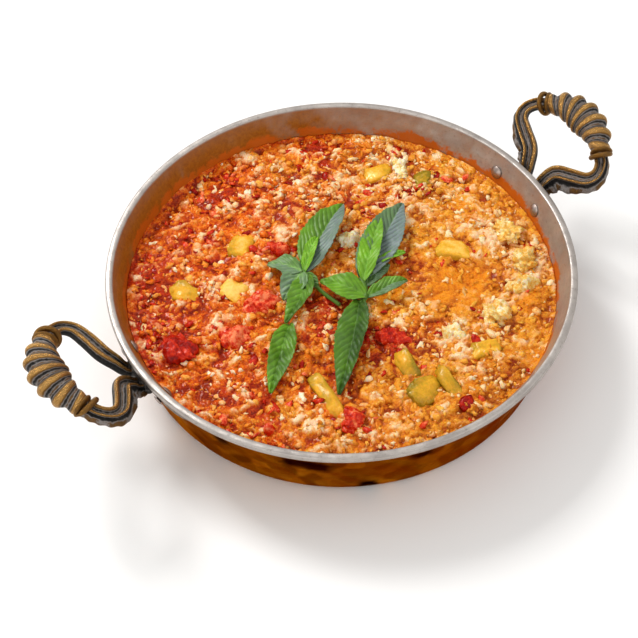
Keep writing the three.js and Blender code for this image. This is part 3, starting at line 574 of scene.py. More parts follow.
def handle_bodies(turned, **fit):
    """A whole handle as closed bodies, and the rubbed value of each point."""
    arm, arm_rub = handle_arm()
    shell, shell_rub = handle_shell()
    end = ARM_PATH[-1]
    heading = math.atan2(end[1] - ARM_PATH[-2][1], end[0] - ARM_PATH[-2][0])
    collar = ball((end[0] + 0.6, end[1], 0), (1.9, 5.9, 4.9), heading)
    curl = volute(end, heading)
    flip = np.array([1, -1, 1])
    strap, strap_rub = handle_strap()
    boss = ball((wall_middle(STRAP_MIDDLE) + 3.4, 0, STRAP_MIDDLE), (3.6, 10.5, 6))
    parts = [(fitted(arm * f, **fit), arm_rub) for f in (1, flip)]
    parts += [(fitted(g * f, **fit), np.full(g.shape[:2], 0.62)) for g in (collar, curl) for f in (1, flip)]
    parts += [(fitted(shell, **fit), shell_rub), (strap, strap_rub), (boss, np.full(boss.shape[:2], 0.12))]
    spin = np.array([turned, turned, 1])
    bodies = [closed_tube(points * spin * MM) for points, _ in parts]
    return bodies, np.concatenate([with_ends(rub) for _, rub in parts])


def colour_stops(ramp, stops):
    """Gives a colour ramp its stops, pairs of place and hex colour from low to high."""
    for _ in stops[2:]:
        ramp.color_ramp.elements.new(0.5)
    for stop, (position, color) in zip(ramp.color_ramp.elements, stops):
        stop.position, stop.color = position, linear(color)


# Brass, sand-cast and antiqued: gold on what hands rub, grey-brown on the flats and
# nearly black in the hollows. The pits of the casting are drawn 1.6 mm apart, coarser
# than sand, so that they show.
brass, tree, shader = finish_named("antiqued_brass")
place = node(tree, "ShaderNodeTexCoord").outputs["Object"]
rub = node(tree, "ShaderNodeAttribute", attribute_name="rubbed").outputs["Fac"]
casting = node(tree, "ShaderNodeTexNoise", [(place, "Vector")], in_Scale=620, in_Detail=6, in_Roughness=0.72)
clouds = node(tree, "ShaderNodeTexNoise", [(place, "Vector")], in_Scale=95, in_Detail=4)
uneven = node(tree, "ShaderNodeMath", [(casting.outputs["Fac"], 0), (rub, 2)], operation="MULTIPLY_ADD", in_1=0.75)
polish = node(tree, "ShaderNodeMapRange", [(uneven.outputs[0], "Value")], in_1=0.3, in_2=1.3)
aged = node(tree, "ShaderNodeValToRGB", [(polish.outputs[0], "Fac")])
stops = [(0, "#0C0A08"), (0.17, "#2E2A28"), (0.38, "#A8A3A1"), (0.5, "#7A624A"), (0.74, "#94703C"), (1, "#C49C62")]
colour_stops(aged, stops)
shades = dict(data_type="RGBA", blend_type="MULTIPLY", in_7=linear("#C6BEB4"))
greyed = node(tree, "ShaderNodeMix", [(clouds.outputs["Fac"], "Factor"), (aged.outputs[0], 6)], **shades)
tree.links.new(greyed.outputs[2], shader.inputs["Base Color"])
metal = node(tree, "ShaderNodeMapRange", [(polish.outputs[0], "Value")], in_1=0.3, in_2=0.6, in_3=0.35, in_4=1)
tree.links.new(metal.outputs[0], shader.inputs["Metallic"])
shine = node(tree, "ShaderNodeMapRange", [(polish.outputs[0], "Value")], in_3=0.62, in_4=0.26)
tree.links.new(shine.outputs[0], shader.inputs["Roughness"])
pitted = node(tree, "ShaderNodeBump", [(casting.outputs["Fac"], "Height")], in_Strength=0.8, in_Distance=0.0012)
tree.links.new(pitted.outputs[0], shader.inputs["Normal"])

for side, turned, fit in (
    ("right", 1, dict(reach=0.93, sway=0.07, skew=0)),
    ("left", -1, dict(reach=1.05, sway=-0.02, skew=0.07)),
):
    bodies, rubbed = handle_bodies(turned, **fit)
    add_piece(f"brass_bail_{side}", bodies, [brass], [f"handle_{side}"], {"rubbed": rubbed})

# ---------------------------------------------------------------------- the sauce
# Tomato and its juice, cooked down with oil and set through with fine curds of egg:
# a loose, grainy mass, redder to the left where the tomato lies, golden to the right
# where the oil has run together into small smooth pools.

FOOD_LEVEL = PAN_HEIGHT - 14.5
FOOD_HEAP = 0.6
FOOD_EDGE = wall_middle(FOOD_LEVEL) - WALL / 2 - 0.25
FOOD_STEPS = 300  # squares across it
LUMP = 8.0  # mm between clumps of curd and tomato
CRUMB = 3.6  # mm between curds
GRIT = 1.8  # mm between the finest curds, and seeds
# Patches as the diner sees them: x, y, radius and strength.
EGG_PATCHES = [(24, 80, 20, 0.6), (88, 12, 15, 1.0), (74, 36, 13, 0.8), (70, -22, 12, 0.7), (64, -55, 18, 0.5)]
EGG_PATCHES += [(6, 26, 9, 0.7), (10, -84, 22, 0.4), (-60, -4, 9, 0.7), (-34, 60, 16, 0.55), (35, -22, 14, 0.3)]
EGG_PATCHES += [(50, 58, 15, 0.5), (-26, 34, 10, 0.45), (-12, -26, 14, 0.3), (30, 50, 14, 0.5), (-8, 62, 14, 0.5)]
EGG_PATCHES += [(50, -34, 10, 0.6), (-44, -58, 12, 0.35)]
TOMATO_PATCHES = [(-86, -34, 26, 1.0), (-96, 8, 18, 0.8), (-49, -34, 12, 0.6), (-32, 24, 11, 0.8), (-66, 26, 11, 0.6)]
TOMATO_PATCHES += [(-10, 84, 14, 0.7), (-60, 60, 20, 0.6), (-38, -70, 20, 0.5), (4, -34, 14, 0.7), (26, -36, 12, 0.8)]
TOMATO_PATCHES += [(14, 52, 10, 0.7), (-6, -12, 11, 0.9), (36, 62, 7, 0.7), (34, 90, 12, 0.5), (-20, 50, 8, 0.5)]
OIL_PATCHES = [(22, -12, 11, 0.9), (60, -66, 12, 0.7), (88, -16, 10, 0.9), (62, 46, 12, 0.7), (-16, -60, 10, 0.8)]
OIL_PATCHES += [(66, 4, 14, 0.9), (86, -46, 12, 0.8), (10, 94, 12, 0.5), (44, 3, 12, 0.7), (52, -10, 13, 0.7)]


def patches(x, y, places):
    """The sum of soft round patches, at most 1."""
    total = 0
    for px, py, radius, strength in places:
        total = total + strength * np.exp(-((x - px) ** 2 + (y - py) ** 2) / radius**2)
    return np.clip(total, 0, 1)


def grains(x, y, size, seed):
    """Grains, one shaken about in each square of a lattice: how far each point is from
    the nearest, in grain sizes, and that grain's own random number."""
    rng = np.random.default_rng(seed)
    shake = rng.uniform(-0.42, 0.42, (2, 256, 256))
    tags = rng.uniform(0, 1, (256, 256))
    i, j = np.floor(x / size).astype(int), np.floor(y / size).astype(int)
    nearest = np.full(np.shape(x), 9.0)
    tag = np.zeros(np.shape(x))
    for step in range(9):
        ci, cj = i + step // 3 - 1, j + step % 3 - 1
        gx = ci + 0.5 + shake[0][ci % 256, cj % 256]
        gy = cj + 0.5 + shake[1][ci % 256, cj % 256]
        away = np.hypot(x / size - gx, y / size - gy)
        closer = away < nearest
        nearest = np.where(closer, away, nearest)
        tag = np.where(closer, tags[ci % 256, cj % 256], tag)
    return nearest, tag


def between(value, low, high):
    """0 below low, 1 above high, and eased from one to the other."""
    t = np.clip((value - low) / (high - low), 0, 1)
    return t * t * (3 - 2 * t)


def swell(x, y):
    """The slow rise and fall of the food, heaped a little to the middle."""
    return (
        FOOD_HEAP * (1 - (x * x + y * y) / 9000)
        + 0.8 * np.sin(0.07 * x + 0.6) * np.cos(0.06 * y - 0.5)
        + 0.6 * np.sin(0.13 * x - 0.09 * y + 2)
        + 0.45 * np.sin(0.11 * y + 0.17 * x)
        + 0.35 * np.cos(0.23 * y - 0.19 * x + 1)
    )


def food_surface(x, y):
    """The height of the food over its level, what each point is made of, and painted light
    and shade. Lumps, crumbs and grit are domes, each of its own height, over ground that
    noise has shifted; what they are made of follows the patches, their own random numbers
    and noise of three sizes. Oil fills the hollows and calms the relief. Raised grains are
    painted lighter, as light on their tops; low ground is darker, partly red juice and
    partly painted shade in the crevices; and the food is darker towards the left."""
    wx = x + 2.6 * drift(x, y, 8, 31) + 1.0 * drift(x, y, 2.7, 34)
    wy = y + 2.6 * drift(x, y, 8, 32) + 1.0 * drift(x, y, 2.7, 35)
    lump, lump_tag = grains(wx, wy, LUMP, 21)
    crumb, crumb_tag = grains(wx, wy, CRUMB, 22)
    grit, grit_tag = grains(x + 0.5 * drift(x, y, 1.6, 36), y + 0.5 * drift(x, y, 1.6, 40), GRIT, 23)
    broad, patch, strand = drift(wx, wy, 15, 37), drift(wx, wy, 5.5, 38), drift(wx * 0.6, wy * 1.5, 3, 42)
    oil = between(0.9 * patches(x, y, OIL_PATCHES) + 0.3 * broad + 0.35 * patch, 0.35, 1.0)
    rise = (
        1.9 * np.clip(1 - (lump / 0.78) ** 2, 0, 1) * (0.25 + 0.75 * lump_tag)
        + 1.7 * np.clip(1 - (crumb / 0.74) ** 2, 0, 1) * (0.25 + 0.75 * crumb_tag)
        + 0.75 * np.clip(1 - (grit / 0.72) ** 2, 0, 1) * (0.2 + 0.8 * grit_tag)
        + 0.7 * patch
        + 0.4 * strand
    )
    own = 0.12 * (lump_tag - 0.5) + 0.26 * (crumb_tag - 0.5) + 0.16 * (grit_tag - 0.5) + 0.2 * (rise - 1.9)
    egg = 0.62 * patches(x, y, EGG_PATCHES) + own + 0.22 * patch + 0.2 * strand - 0.2 * oil
    egg = between(egg, 0.16, 0.66)
    tomato = 0.7 * patches(x, y, TOMATO_PATCHES) - 0.8 * own + 0.3 * drift(wx, wy, 6, 41) - 0.2 * oil
    tomato = between(tomato, 0.24, 0.62) * (1 - egg)
    # Darker where the ground is low: partly red juice, partly painted shade in the crevices. It is also darker towards
    # the left.
    hollow = np.clip(between(1.9 - rise, 0.1, 1.5) + 0.22 * between(-x, 30, 100), 0, 1) * (1 - 0.6 * oil)
    relief = (rise - 1.7) * (1 - 0.35 * tomato)
    relief = relief * (1 - oil) + oil * (0.4 * relief - 0.3)
    edge = np.clip((FOOD_EDGE - np.hypot(x, y)) / 4, 0, 1)
    height = swell(x, y) * edge + np.minimum(relief, 1.5) * (0.4 + 0.6 * edge) + 0.5 * (1 - edge)
    gold = between(0.6 + (x - 0.15 * y) / 150 + 0.3 * broad + 0.16 * patch, 0.15, 0.95)
    # Raised grains are lighter: painted light on their tops, over each grain's own random tone.
    tone = 0.2 * (lump_tag + crumb_tag + grit_tag) + 0.4 * between(rise, 0.4, 3.4)
    return height, dict(egg=egg, tomato=tomato, oil=oil, tone=tone, gold=gold, hollow=hollow)


def food_body():
    """A disc of even squares, its rim pulled from a square to a circle, with a skirt
    down the pan's wall and a flat foot."""
    s = np.linspace(-1, 1, FOOD_STEPS + 1)
    u, v = np.meshgrid(s, s, indexing="ij")
    x = FOOD_EDGE * u * np.sqrt(1 - v**2 / 2)
    y = FOOD_EDGE * v * np.sqrt(1 - u**2 / 2)
    height, made_of = food_surface(x, y)
    top = np.stack([x, y, FOOD_LEVEL + height], -1).reshape(-1, 3)
    n = FOOD_STEPS + 1
    i, j = np.meshgrid(np.arange(n - 1), np.arange(n - 1), indexing="ij")
    a = i * n + j
    faces = np.stack([a, a + n, a + n + 1, a + 1], -1).reshape(-1, 4).tolist()
    run = np.arange(n - 1)
    loop = np.concatenate([run * n, (n - 1) * n + run, (n - 1 - run) * n + n - 1, n - 1 - run])
    skirt = [top[loop]]
    for z in (24, 16, CORNER_RADIUS + 1):
        scale = (wall_middle(z) - WALL / 2 - 0.5) / FOOD_EDGE
        skirt.append(np.column_stack([skirt[0][:, :2] * scale, np.full(len(loop), z)]))
    points, skirt_faces = closed_tube(np.stack(skirt))
    lid = len(skirt) * len(loop)  # the middle of the skirt's open top, which the disc fills
    skirt_faces = [[k + len(top) - (k > lid) for k in f] for f in skirt_faces if lid not in f]
    points = np.delete(points, lid, 0)
    fields = {key: np.append(values.ravel(), np.zeros(len(points))) for key, values in made_of.items()}
    return np.vstack([top, points]), faces + skirt_faces, fields


def food_finish(name, ramp, wetness=0.18, speckled=0.95, grain=900, bump=0.0005, over=()):
    """A moist food: a colour by its tone and speckle, light that goes in a little way,
    and a wet film over fine grain, of which there are so many in a metre: about 1 mm
    each, coarser than real curd, so that it shows. over lists (attribute, dark, pale,
    share) laid on in turn, each between its two colours by the speckle."""
    material, tree, shader = finish_named(
        name,
        Subsurface_Weight=0.3,
        Subsurface_Radius=(1.0, 0.4, 0.12),
        Subsurface_Scale=0.0007,
        IOR=1.36,
        Specular_IOR_Level=0.3,
        Coat_Weight=0.25,
        Coat_Roughness=0.08,
    )
    place = node(tree, "ShaderNodeTexCoord").outputs["Object"]
    tone = node(tree, "ShaderNodeAttribute", attribute_name="tone").outputs["Fac"]
    speckle = node(tree, "ShaderNodeTexNoise", [(place, "Vector")], in_Scale=grain, in_Detail=6, in_Roughness=0.7)
    sharp = node(tree, "ShaderNodeMapRange", [(speckle.outputs["Fac"], "Value")], in_1=0.34, in_2=0.66)
    mixed = node(tree, "ShaderNodeMath", [(sharp.outputs[0], 0), (tone, 2)], operation="MULTIPLY_ADD", in_1=speckled)
    span = dict(in_1=0.3 * speckled, in_2=1 + 0.62 * speckled)
    at = node(tree, "ShaderNodeMapRange", [(mixed.outputs[0], "Value")], **span)
    colors = node(tree, "ShaderNodeValToRGB", [(at.outputs[0], "Fac")])
    colour_stops(colors, [(i / (len(ramp) - 1), color) for i, color in enumerate(ramp)])
    color = colors.outputs[0]
    for attribute, dark, pale, share in over:
        there = node(tree, "ShaderNodeAttribute", attribute_name=attribute).outputs["Fac"]
        part = node(tree, "ShaderNodeMath", [(there, 0)], operation="MULTIPLY", in_1=share)
        links = [(at.outputs[0], "Factor")]
        shade = node(tree, "ShaderNodeMix", links, data_type="RGBA", in_6=linear(dark), in_7=linear(pale))
        links = [(part.outputs[0], "Factor"), (color, 6), (shade.outputs[2], 7)]
        color = node(tree, "ShaderNodeMix", links, data_type="RGBA").outputs[2]
    tree.links.new(color, shader.inputs["Base Color"])
    span = dict(in_1=0.3, in_2=0.7, in_3=wetness, in_4=wetness + 0.25)
    gloss = node(tree, "ShaderNodeMapRange", [(speckle.outputs["Fac"], "Value")], **span)
    tree.links.new(gloss.outputs[0], shader.inputs["Roughness"])
    rough = node(tree, "ShaderNodeBump", [(speckle.outputs["Fac"], "Height")], in_Strength=0.8, in_Distance=bump)
    tree.links.new(rough.outputs[0], shader.inputs["Normal"])
    return material


# Red-orange sauce to the left and golden to the right, with red flesh, cream curd and
# clear amber oil in it. It is dark red in the hollows, partly juice and partly painted
# shade in the crevices, and darker towards the left; raised grains are painted lighter,
# as light on their tops.
sauce = food_finish(
    "tomato_and_egg_sauce",
    ["#AE2C00", "#D85400", "#F0800A", "#FFB03C"],
    grain=1000,
    bump=0.0012,
    over=[
        ("gold", "#D06C00", "#FFC040", 0.85),
        ("tomato", "#8A0C00", "#E23E08", 0.9),
        ("egg", "#FA9C48", "#FFEFCC", 0.85),
        ("oil", "#D87000", "#FAA010", 0.7),
        # Dark red in the hollows: partly juice, partly painted shade.
        ("hollow", "#721400", "#BA4200", 0.7),
    ],
)
points, faces, fields = food_body()
add_piece("menemen_sauce", [(from_diner(points), faces)], [sauce], ["menemen"], fields)


def scattered(seed, count, sizes, flat, sink, share, rough=0.75):
    """Many small lumps in one mesh. Each is a ball of forty faces whose surface moves
    in and out by three sine waves across random directions. sizes are the least and
    greatest length, flat the height as a part of that. They lie where share(x, y),
    from 0 to 1, lets them, sunk into the food by a part of their own height."""
    rng = np.random.default_rng(seed)
    r = (FOOD_EDGE - 2) * np.sqrt(rng.uniform(0, 1, count * 9))
    a = rng.uniform(0, 2 * math.pi, count * 9)
    x, y = r * np.cos(a), r * np.sin(a)
    kept = np.nonzero(rng.uniform(0, 1, len(x)) < share(x, y))[0][:count]
    x, y = x[kept], y[kept]
    n = len(x)
    rows, round_by = 4, 8
    lat = np.linspace(0.42, math.pi - 0.42, rows)[:, None]
    lon = np.linspace(0, 2 * math.pi, round_by, endpoint=False)[None]
    ring = np.stack([np.sin(lat) * np.cos(lon), np.sin(lat) * np.sin(lon), np.cos(lat) + 0 * lon], -1)
    ball_points, ball_faces = closed_tube(ring)
    ways = rng.normal(0, 1, (n, 3, 3))
    phases = rng.uniform(0, 6.3, (n, 3, 1))
    waves = np.sin(1.9 * ways @ ball_points.T + phases).sum(1) * rough / 2
    shape = ball_points[None] * (1 + waves[..., None])
    long = sizes[0] + (sizes[1] - sizes[0]) * rng.uniform(0, 1, n) ** 2.2
    wide, high = long * rng.uniform(0.35, 0.95, n), long * rng.uniform(flat, flat + 0.25, n)
    scale = np.stack([long, wide, high], -1) / 2
    shape = shape * scale[:, None]
    turn, lean = rng.uniform(0, 2 * math.pi, n), rng.normal(0, 0.4, n)
    c, s = np.cos(lean)[:, None], np.sin(lean)[:, None]
    px, py = c * shape[..., 0] - s * shape[..., 2], shape[..., 1]
    pz = s * shape[..., 0] + c * shape[..., 2]
    c, s = np.cos(turn)[:, None], np.sin(turn)[:, None]
    px, py = c * px - s * py + x[:, None], s * px + c * py + y[:, None]
    ground, made_of = food_surface(x, y)
    pz = pz + (FOOD_LEVEL + ground + scale[:, 2] * (1 - 2 * sink))[:, None]
    kept_in = np.minimum(1, (FOOD_EDGE - 0.4) / np.maximum(np.hypot(px, py), 1))
    points = np.stack([px * kept_in, py * kept_in, pz], -1).reshape(-1, 3)
    starts = np.arange(n) * len(ball_points)
    faces = [[k + int(start) for k in f] for start in starts for f in ball_faces]
    fields = {"tone": rng.uniform(0, 1, n), "gold": made_of["gold"], "egg": patches(x, y, EGG_PATCHES)}
    return points, faces, {key: np.repeat(values, len(ball_points)) for key, values in fields.items()}


# Egg curd, set soft: stained orange by the juice, or cream and yellow where it lies
# thick. Tomato: flat wet shreds of flesh and skin.
over = [("gold", "#E59A34", "#FFE2A4", 0.55), ("egg", "#F2C274", "#FFF2D6", 0.6)]
curd = dict(wetness=0.34, grain=1200, bump=0.0006, over=over)
curd = food_finish("egg_curd", ["#E88E44", "#F6B06A", "#FFD49C", "#FFF0DA"], **curd)
stained = dict(wetness=0.28, grain=1200, bump=0.0006, over=[("gold", "#D07C08", "#FCC04C", 0.8)])
stained = food_finish("stained_curd", ["#CC4E04", "#E67212", "#F6962C", "#FFBC62"], **stained)
flesh = dict(wetness=0.14, grain=420, bump=0.0008)
flesh = food_finish("cooked_tomato", ["#840A00", "#B01A02", "#D8380C", "#F28C5C"], **flesh)


def curd_share(x, y):
    """Mostly where the egg is thick."""
    return 0.1 + 0.9 * patches(x, y, EGG_PATCHES) ** 1.3


def crumb_share(x, y):
    """All over, with half as many in the oil."""
    return 0.9 - 0.5 * patches(x, y, OIL_PATCHES)


def shred_share(x, y):
    """Mostly where the tomato is."""
    return 0.1 + 0.9 * patches(x, y, TOMATO_PATCHES)


SCATTERED = [
    ("fine_curds", curd, 1500, (0.9, 4.6), 0.4, 0.7, curd_share),
    ("stained_crumbs", stained, 2700, (1.0, 4.4), 0.4, 0.68, crumb_share),
    ("tomato_shreds", flesh, 380, (2.5, 6.2), 0.12, 0.7, shred_share),
]
for seed, (name, material, *how) in enumerate(SCATTERED, 51):
    points, faces, fields = scattered(seed, *how)
    add_piece(name, [(from_diner(points), faces)], [material], (), fields)

# -------------------------------------------------------------- the larger pieces
# Green pepper cut in dice and strips, cooked soft, gold and olive with a thin skin
# that has curled; egg set in soft pillows; and tomato in wet, collapsed chunks.

# Each has its place as the diner sees it, its length, width and thickness, a pepper's
# bend, its turn and its leans in degrees, how deep it is sunk, and its tone, 1 palest.
PEPPER_SUNK = 0.8  # mm, added for each
PEPPERS = {
    "pepper_gold_left": ((-48, 24), (14, 12, 5), 0.5, 80, (8, -6), -0.4, 0.62),
    "pepper_gold_right": ((54, 20), (16, 11, 5), 0.4, -12, (-6, 4), -0.5, 0.75),
    "pepper_green_back": ((42, 66), (13, 9, 4.5), 0.6, 84, (-10, 5), 0, 0.15),
    "pepper_amber": ((-51, -3), (13, 11, 4.5), 0.5, 62, (6, 8), 0.2, 0.85),
    "pepper_left": ((-74, -4), (15, 11, 4.5), 0.7, -28, (5, -5), 0.3, 0.5),
    "pepper_strip_a": ((28, -49), (17, 8, 4), 0.8, -64, (24, 6), -1, 0.35),
    "pepper_wedge": ((37, -64), (16, 13, 4.5), 0.5, 38, (16, 10), -1, 0.3),
    "pepper_strip_b": ((47, -60), (21, 6.5, 4), 0.8, -58, (28, 4), -1.2, 0.4),
    "pepper_long": ((-8, -66), (27, 7, 4), 0.6, -62, (18, 5), -0.8, 0.45),
    "pepper_right": ((65, -41), (15, 9, 4.5), 0.5, 8, (4, -8), 0, 0.55),
    "pepper_gold_back": ((20, 74), (14, 10, 4.5), 0.4, 20, (-6, -4), 0, 0.7),
}
EGGS = {
    "egg_white_middle": ((4.5, 26), (9.5, 8, 7), 30, (10, 0), 0.2, 0.95),
    "egg_right": ((71, -20), (15, 12, 7), 60, (0, 8), -0.6, 0.6),
    "egg_edge_back": ((81, 31), (17, 12, 8), 125, (6, 0), -0.8, 0.4),
    "egg_edge_middle": ((88, 12), (15, 11, 8), 80, (0, -6), -0.8, 0.35),
    "egg_edge_front": ((85, -4), (16, 9, 7), 10, (4, 4), -0.5, 0.5),
    "egg_curl": ((51, -31), (11, 7, 5), -20, (0, 10), -0.3, 0.7),
    "egg_white_back": ((31, 75), (15, 7, 6), 100, (0, 0), -0.4, 0.8),
}
TOMATOES = {
    "tomato_pink": ((-49, -32), (15, 12, 8), 15, (6, 6), 0, 0.85),
    "tomato_left": ((-76, -39), (18, 13, 8), -35, (0, -6), 0.2, 0.3),
    "tomato_middle": ((-37, -11), (17, 12, 8), 25, (4, 0), -0.3, 0.75),
    "tomato_mint": ((-30, 22), (13, 9, 7), 10, (0, 0), 0, 0.6),
    "tomato_right": ((23, -34), (15, 9, 7), -15, (0, 5), 0, 0.45),
    "tomato_front": ((3, -80), (14, 10, 7), 75, (5, 0), 0, 0.6),
}


def laid(points, at, turn, lean, sunk):
    """Points about the origin leaned about X, then Y, turned about Z, and set on the food."""
    turned = Euler([math.radians(d) for d in (*lean, turn)]).to_matrix()
    return points @ np.array(turned).T + np.array([*at, FOOD_LEVEL + swell(*at) - sunk])


def crinkled(points, amount, size, seed):
    """Moves points in and out from the origin by noise over two sizes."""
    way = points / np.maximum(np.linalg.norm(points, axis=-1, keepdims=True), 1e-6)
    x, y = points[..., 0] + 0.7 * points[..., 2], points[..., 1] - 0.7 * points[..., 2]
    push = drift(x + 50, y + 50, size, seed) + 0.5 * drift(x + 50, y + 50, size * 0.45, seed + 1)
    return points + way * (push * amount)[..., None]


def eased(value, power):
    """A value to a power under 1, with its sign kept: it swells a round to a square."""
    return np.sign(value) * np.abs(value) ** power


def pepper_body(at, size, bend, turn, lean, sunk, tone, seed):
    """A slab with rounded sides, a superellipsoid, arched along and across, with its
    cut edges crinkled and its skin side raised at the rim. Its skin's middle is painted
    paler and its edges are left darker: a painted highlight on top, painted shade at the sides."""
    a = np.linspace(0.02, math.pi - 0.02, 44)[:, None]
    b = np.linspace(0, 2 * math.pi, 64, endpoint=False)[None]
    x = -eased(np.cos(a), 0.34) + 0 * b
    y = eased(np.sin(a), 0.34) * eased(np.cos(b), 0.36)
    z = eased(np.sin(a), 0.34) * eased(np.sin(b), 0.5)
    length, width, thickness = size
    arch = bend * ((x * length / 2) ** 2 / length + (y * width / 2) ** 2 / width / 2)
    skin = np.clip(z, 0, 1)
    to_rim = np.maximum(np.abs(x), np.abs(y))
    high = z * thickness / 2 - arch + 0.5 * skin * to_rim**6 + bend * length * 0.08
    points = np.stack([x * length / 2, y * width / 2 * (1 - 0.12 * np.abs(x) ** 3), high], -1)
    points = crinkled(crinkled(points, 1.6, 5.0, seed), 0.5, 2.2, seed + 9)
    # A painted highlight: the upper face is lighter in its middle, and the cut edges are left darker as painted shade.
    middle = skin * (1 - to_rim**3)
    shade = tone - 0.22 + 0.34 * middle + 0.3 * drift(points[..., 0], points[..., 1], 4, seed)
    return laid(points, at, turn, lean, sunk + PEPPER_SUNK), np.clip(shade, 0, 1)


def chunk_body(at, size, turn, lean, sunk, tone, seed, amount, wave):
    """A ball squashed to size, crinkled."""
    points = ball((0, 0, 0), np.array(size) / 2, rows=48, count=64)
    points = crinkled(crinkled(points, amount, wave, seed), amount * 0.55, wave * 0.4, seed + 9)
    shade = np.clip(tone + 0.3 * drift(points[..., 0] + 9, points[..., 1], 3, seed + 5), 0, 1)
    return laid(points, at, turn, lean, sunk), shade


# Pepper, stewed: olive at the cut edges and gold on the wet skin, nearly without
# speckle; the middle of each upper face is painted paler, as a highlight, and its cut
# edges darker, as shade. Egg: cream, matt and closely grained.
pepper = dict(wetness=0.1, grain=600, bump=0.0005, speckled=0.3)
pepper = food_finish("cooked_green_pepper", ["#84761E", "#BE9426", "#E6AC30", "#F8CE74"], **pepper)
egg = dict(wetness=0.3, grain=700, bump=0.0012)
egg = food_finish("soft_set_egg", ["#E0922C", "#EFB850", "#F8DE9C", "#FFF3DC"], **egg)

for name, material, slot_name, cut, body_of, first_seed, crumple in (
    ("pepper_cuts", pepper, "pepper", PEPPERS, pepper_body, 60, {}),
    ("egg_pillows", egg, "egg", EGGS, chunk_body, 80, dict(amount=1.7, wave=3.4)),
    ("tomato_chunks", flesh, "tomato", TOMATOES, chunk_body, 95, dict(amount=1.5, wave=4.6)),
):
    bodies, tones = [], []
    for seed, piece in enumerate(cut.values(), first_seed):
        rings, tone = body_of(*piece, seed=seed, **crumple)
        points, faces = closed_tube(rings)
        bodies.append((from_diner(points), faces))
        tones.append(with_ends(tone))
    add_piece(name, bodies, [material], list(cut), {"tone": np.concatenate(tones)})

# ------------------------------------------------------------------------ the mint
# Two sprigs of fresh mint and a loose leaf, laid on as the dish is served. A mint
# leaf is thin and quilted between its veins, toothed at its edge and bright where it is
# young; one half of a leaf may be painted lighter and the other greyer, as painted light
# and a painted sheen from one side, and its vein grooves are painted dark as shade.

TOOTH = 2.7  # mm between teeth
VEIN_PITCH = 4.2  # mm along the midrib between side veins


def leaf_body(start, end, width, arch=2.5, bow=0, fold=18, roll=0, young_and_lit=0.3, painted_sheen=(0, 0), pale=-0.6):
    """A leaf on a grid from stalk to tip and from edge to edge: widest before its
    middle, arched, bowed, folded up along its midrib, rolled, waved and toothed, with
    its flesh raised between side veins that slant to the tip. Then its values: how far
    vein, how young and lit, how far in a grey painted sheen, and on the underside. The
    young-and-lit value and the sheen may be pairs, for the right half and the left, as
    painted light from one side. A pale value below 0 paints the side veins dark, as shade."""
    start, end = np.array(start, float), np.array(end, float)
    chord = end - start
    length = np.linalg.norm(chord)
    side = np.array([-chord[1], chord[0], 0]) / np.hypot(chord[0], chord[1])
    u = np.linspace(0, 1, 96)[:, None]
    v = np.linspace(-1, 1, 41)[None]
    hump = np.sin(math.pi * u)
    plain = 0.7 + (width / 2 - 0.7) * np.clip(np.sin(math.pi * u**0.78), 0, 1) ** 0.85
    along_edge = u * length / TOOTH
    tooth = (along_edge - np.floor(along_edge)) * np.clip(hump * 2, 0, 1)
    half = plain * (1 - 0.075 * (1 - tooth) * np.abs(v) ** 6)
    out = v * half
    slant = u * length - np.abs(out) * 1.5 - 0.05 * out**2
    slant = slant + 1.1 * drift(out + 30, u * length + 9 * np.sign(v), 6, 9)
    phase = slant / (VEIN_PITCH if width > 9 else VEIN_PITCH * 0.65)
    off_vein = np.abs(phase - np.round(phase))
    side_vein = np.exp(-((off_vein / 0.11) ** 2)) * np.clip(1.15 - np.abs(v), 0, 1)
    side_vein = side_vein * np.clip(np.abs(v) * 8, 0, 1)
    midrib = np.exp(-((out / (0.45 + 0.35 * (1 - u))) ** 2))
    # A pale value below 0 paints the side veins dark, as shade in their grooves.
    vein = np.clip(side_vein * pale, -1, 1) + np.clip(0.55 + pale, 0.2, 1) * midrib * (1 - u)
    netted = 0.22 * drift(out * 1.4 + 60, u * length, 1.9, 10)
    quilt = (0.5 * np.sin(math.pi * off_vein) + netted) * np.clip(hump * 3, 0, 1) * (1 - np.abs(v) ** 4)
    waved = 0.6 * np.abs(v) * np.sin(8 * u + 2 * v)
    rise = np.abs(out) * math.tan(math.radians(fold)) + waved + quilt - 0.35 * midrib
    rise = rise + 0.35 * np.abs(v) ** 3 * np.sin(2 * math.pi * along_edge / 3)
    rise = rise + 0.9 * drift(out + 90, u * length, width * 0.45, int(length * 10)) * hump
    tip = math.radians(roll) * hump
    sideways = bow * hump + out * np.cos(tip) - rise * np.sin(tip)
    upward = start[2] + chord[2] * u + arch * hump + out * np.sin(tip) + rise * np.cos(tip)
    top = start + chord * u[..., None] + sideways[..., None] * side
    top[..., 2] = upward
    under = top - np.array([0, 0, 0.45])
    rings = np.concatenate([top, under[:, ::-1]], 1)
    # A pair gives each half its own youth and grey: painted light from one side and a painted sheen.
    grey, youth_and_light = (np.where(v < 0, pair[1], pair[0]) + 0 * u for pair in (painted_sheen, np.ones(2) * young_and_lit))
    grey = np.clip(grey + 0.12 * drift(out + 40, u * length, 5, 7), 0, 1)
    youth_and_light = np.clip(youth_and_light + 0.2 * drift(out + 20, u * length, 7, 8), 0, 1)
    values = [np.concatenate([g, g[:, ::-1]], 1) for g in (vein, youth_and_light, grey)]
    return rings, values + [np.concatenate([0 * vein, 0 * vein + 1], 1)]


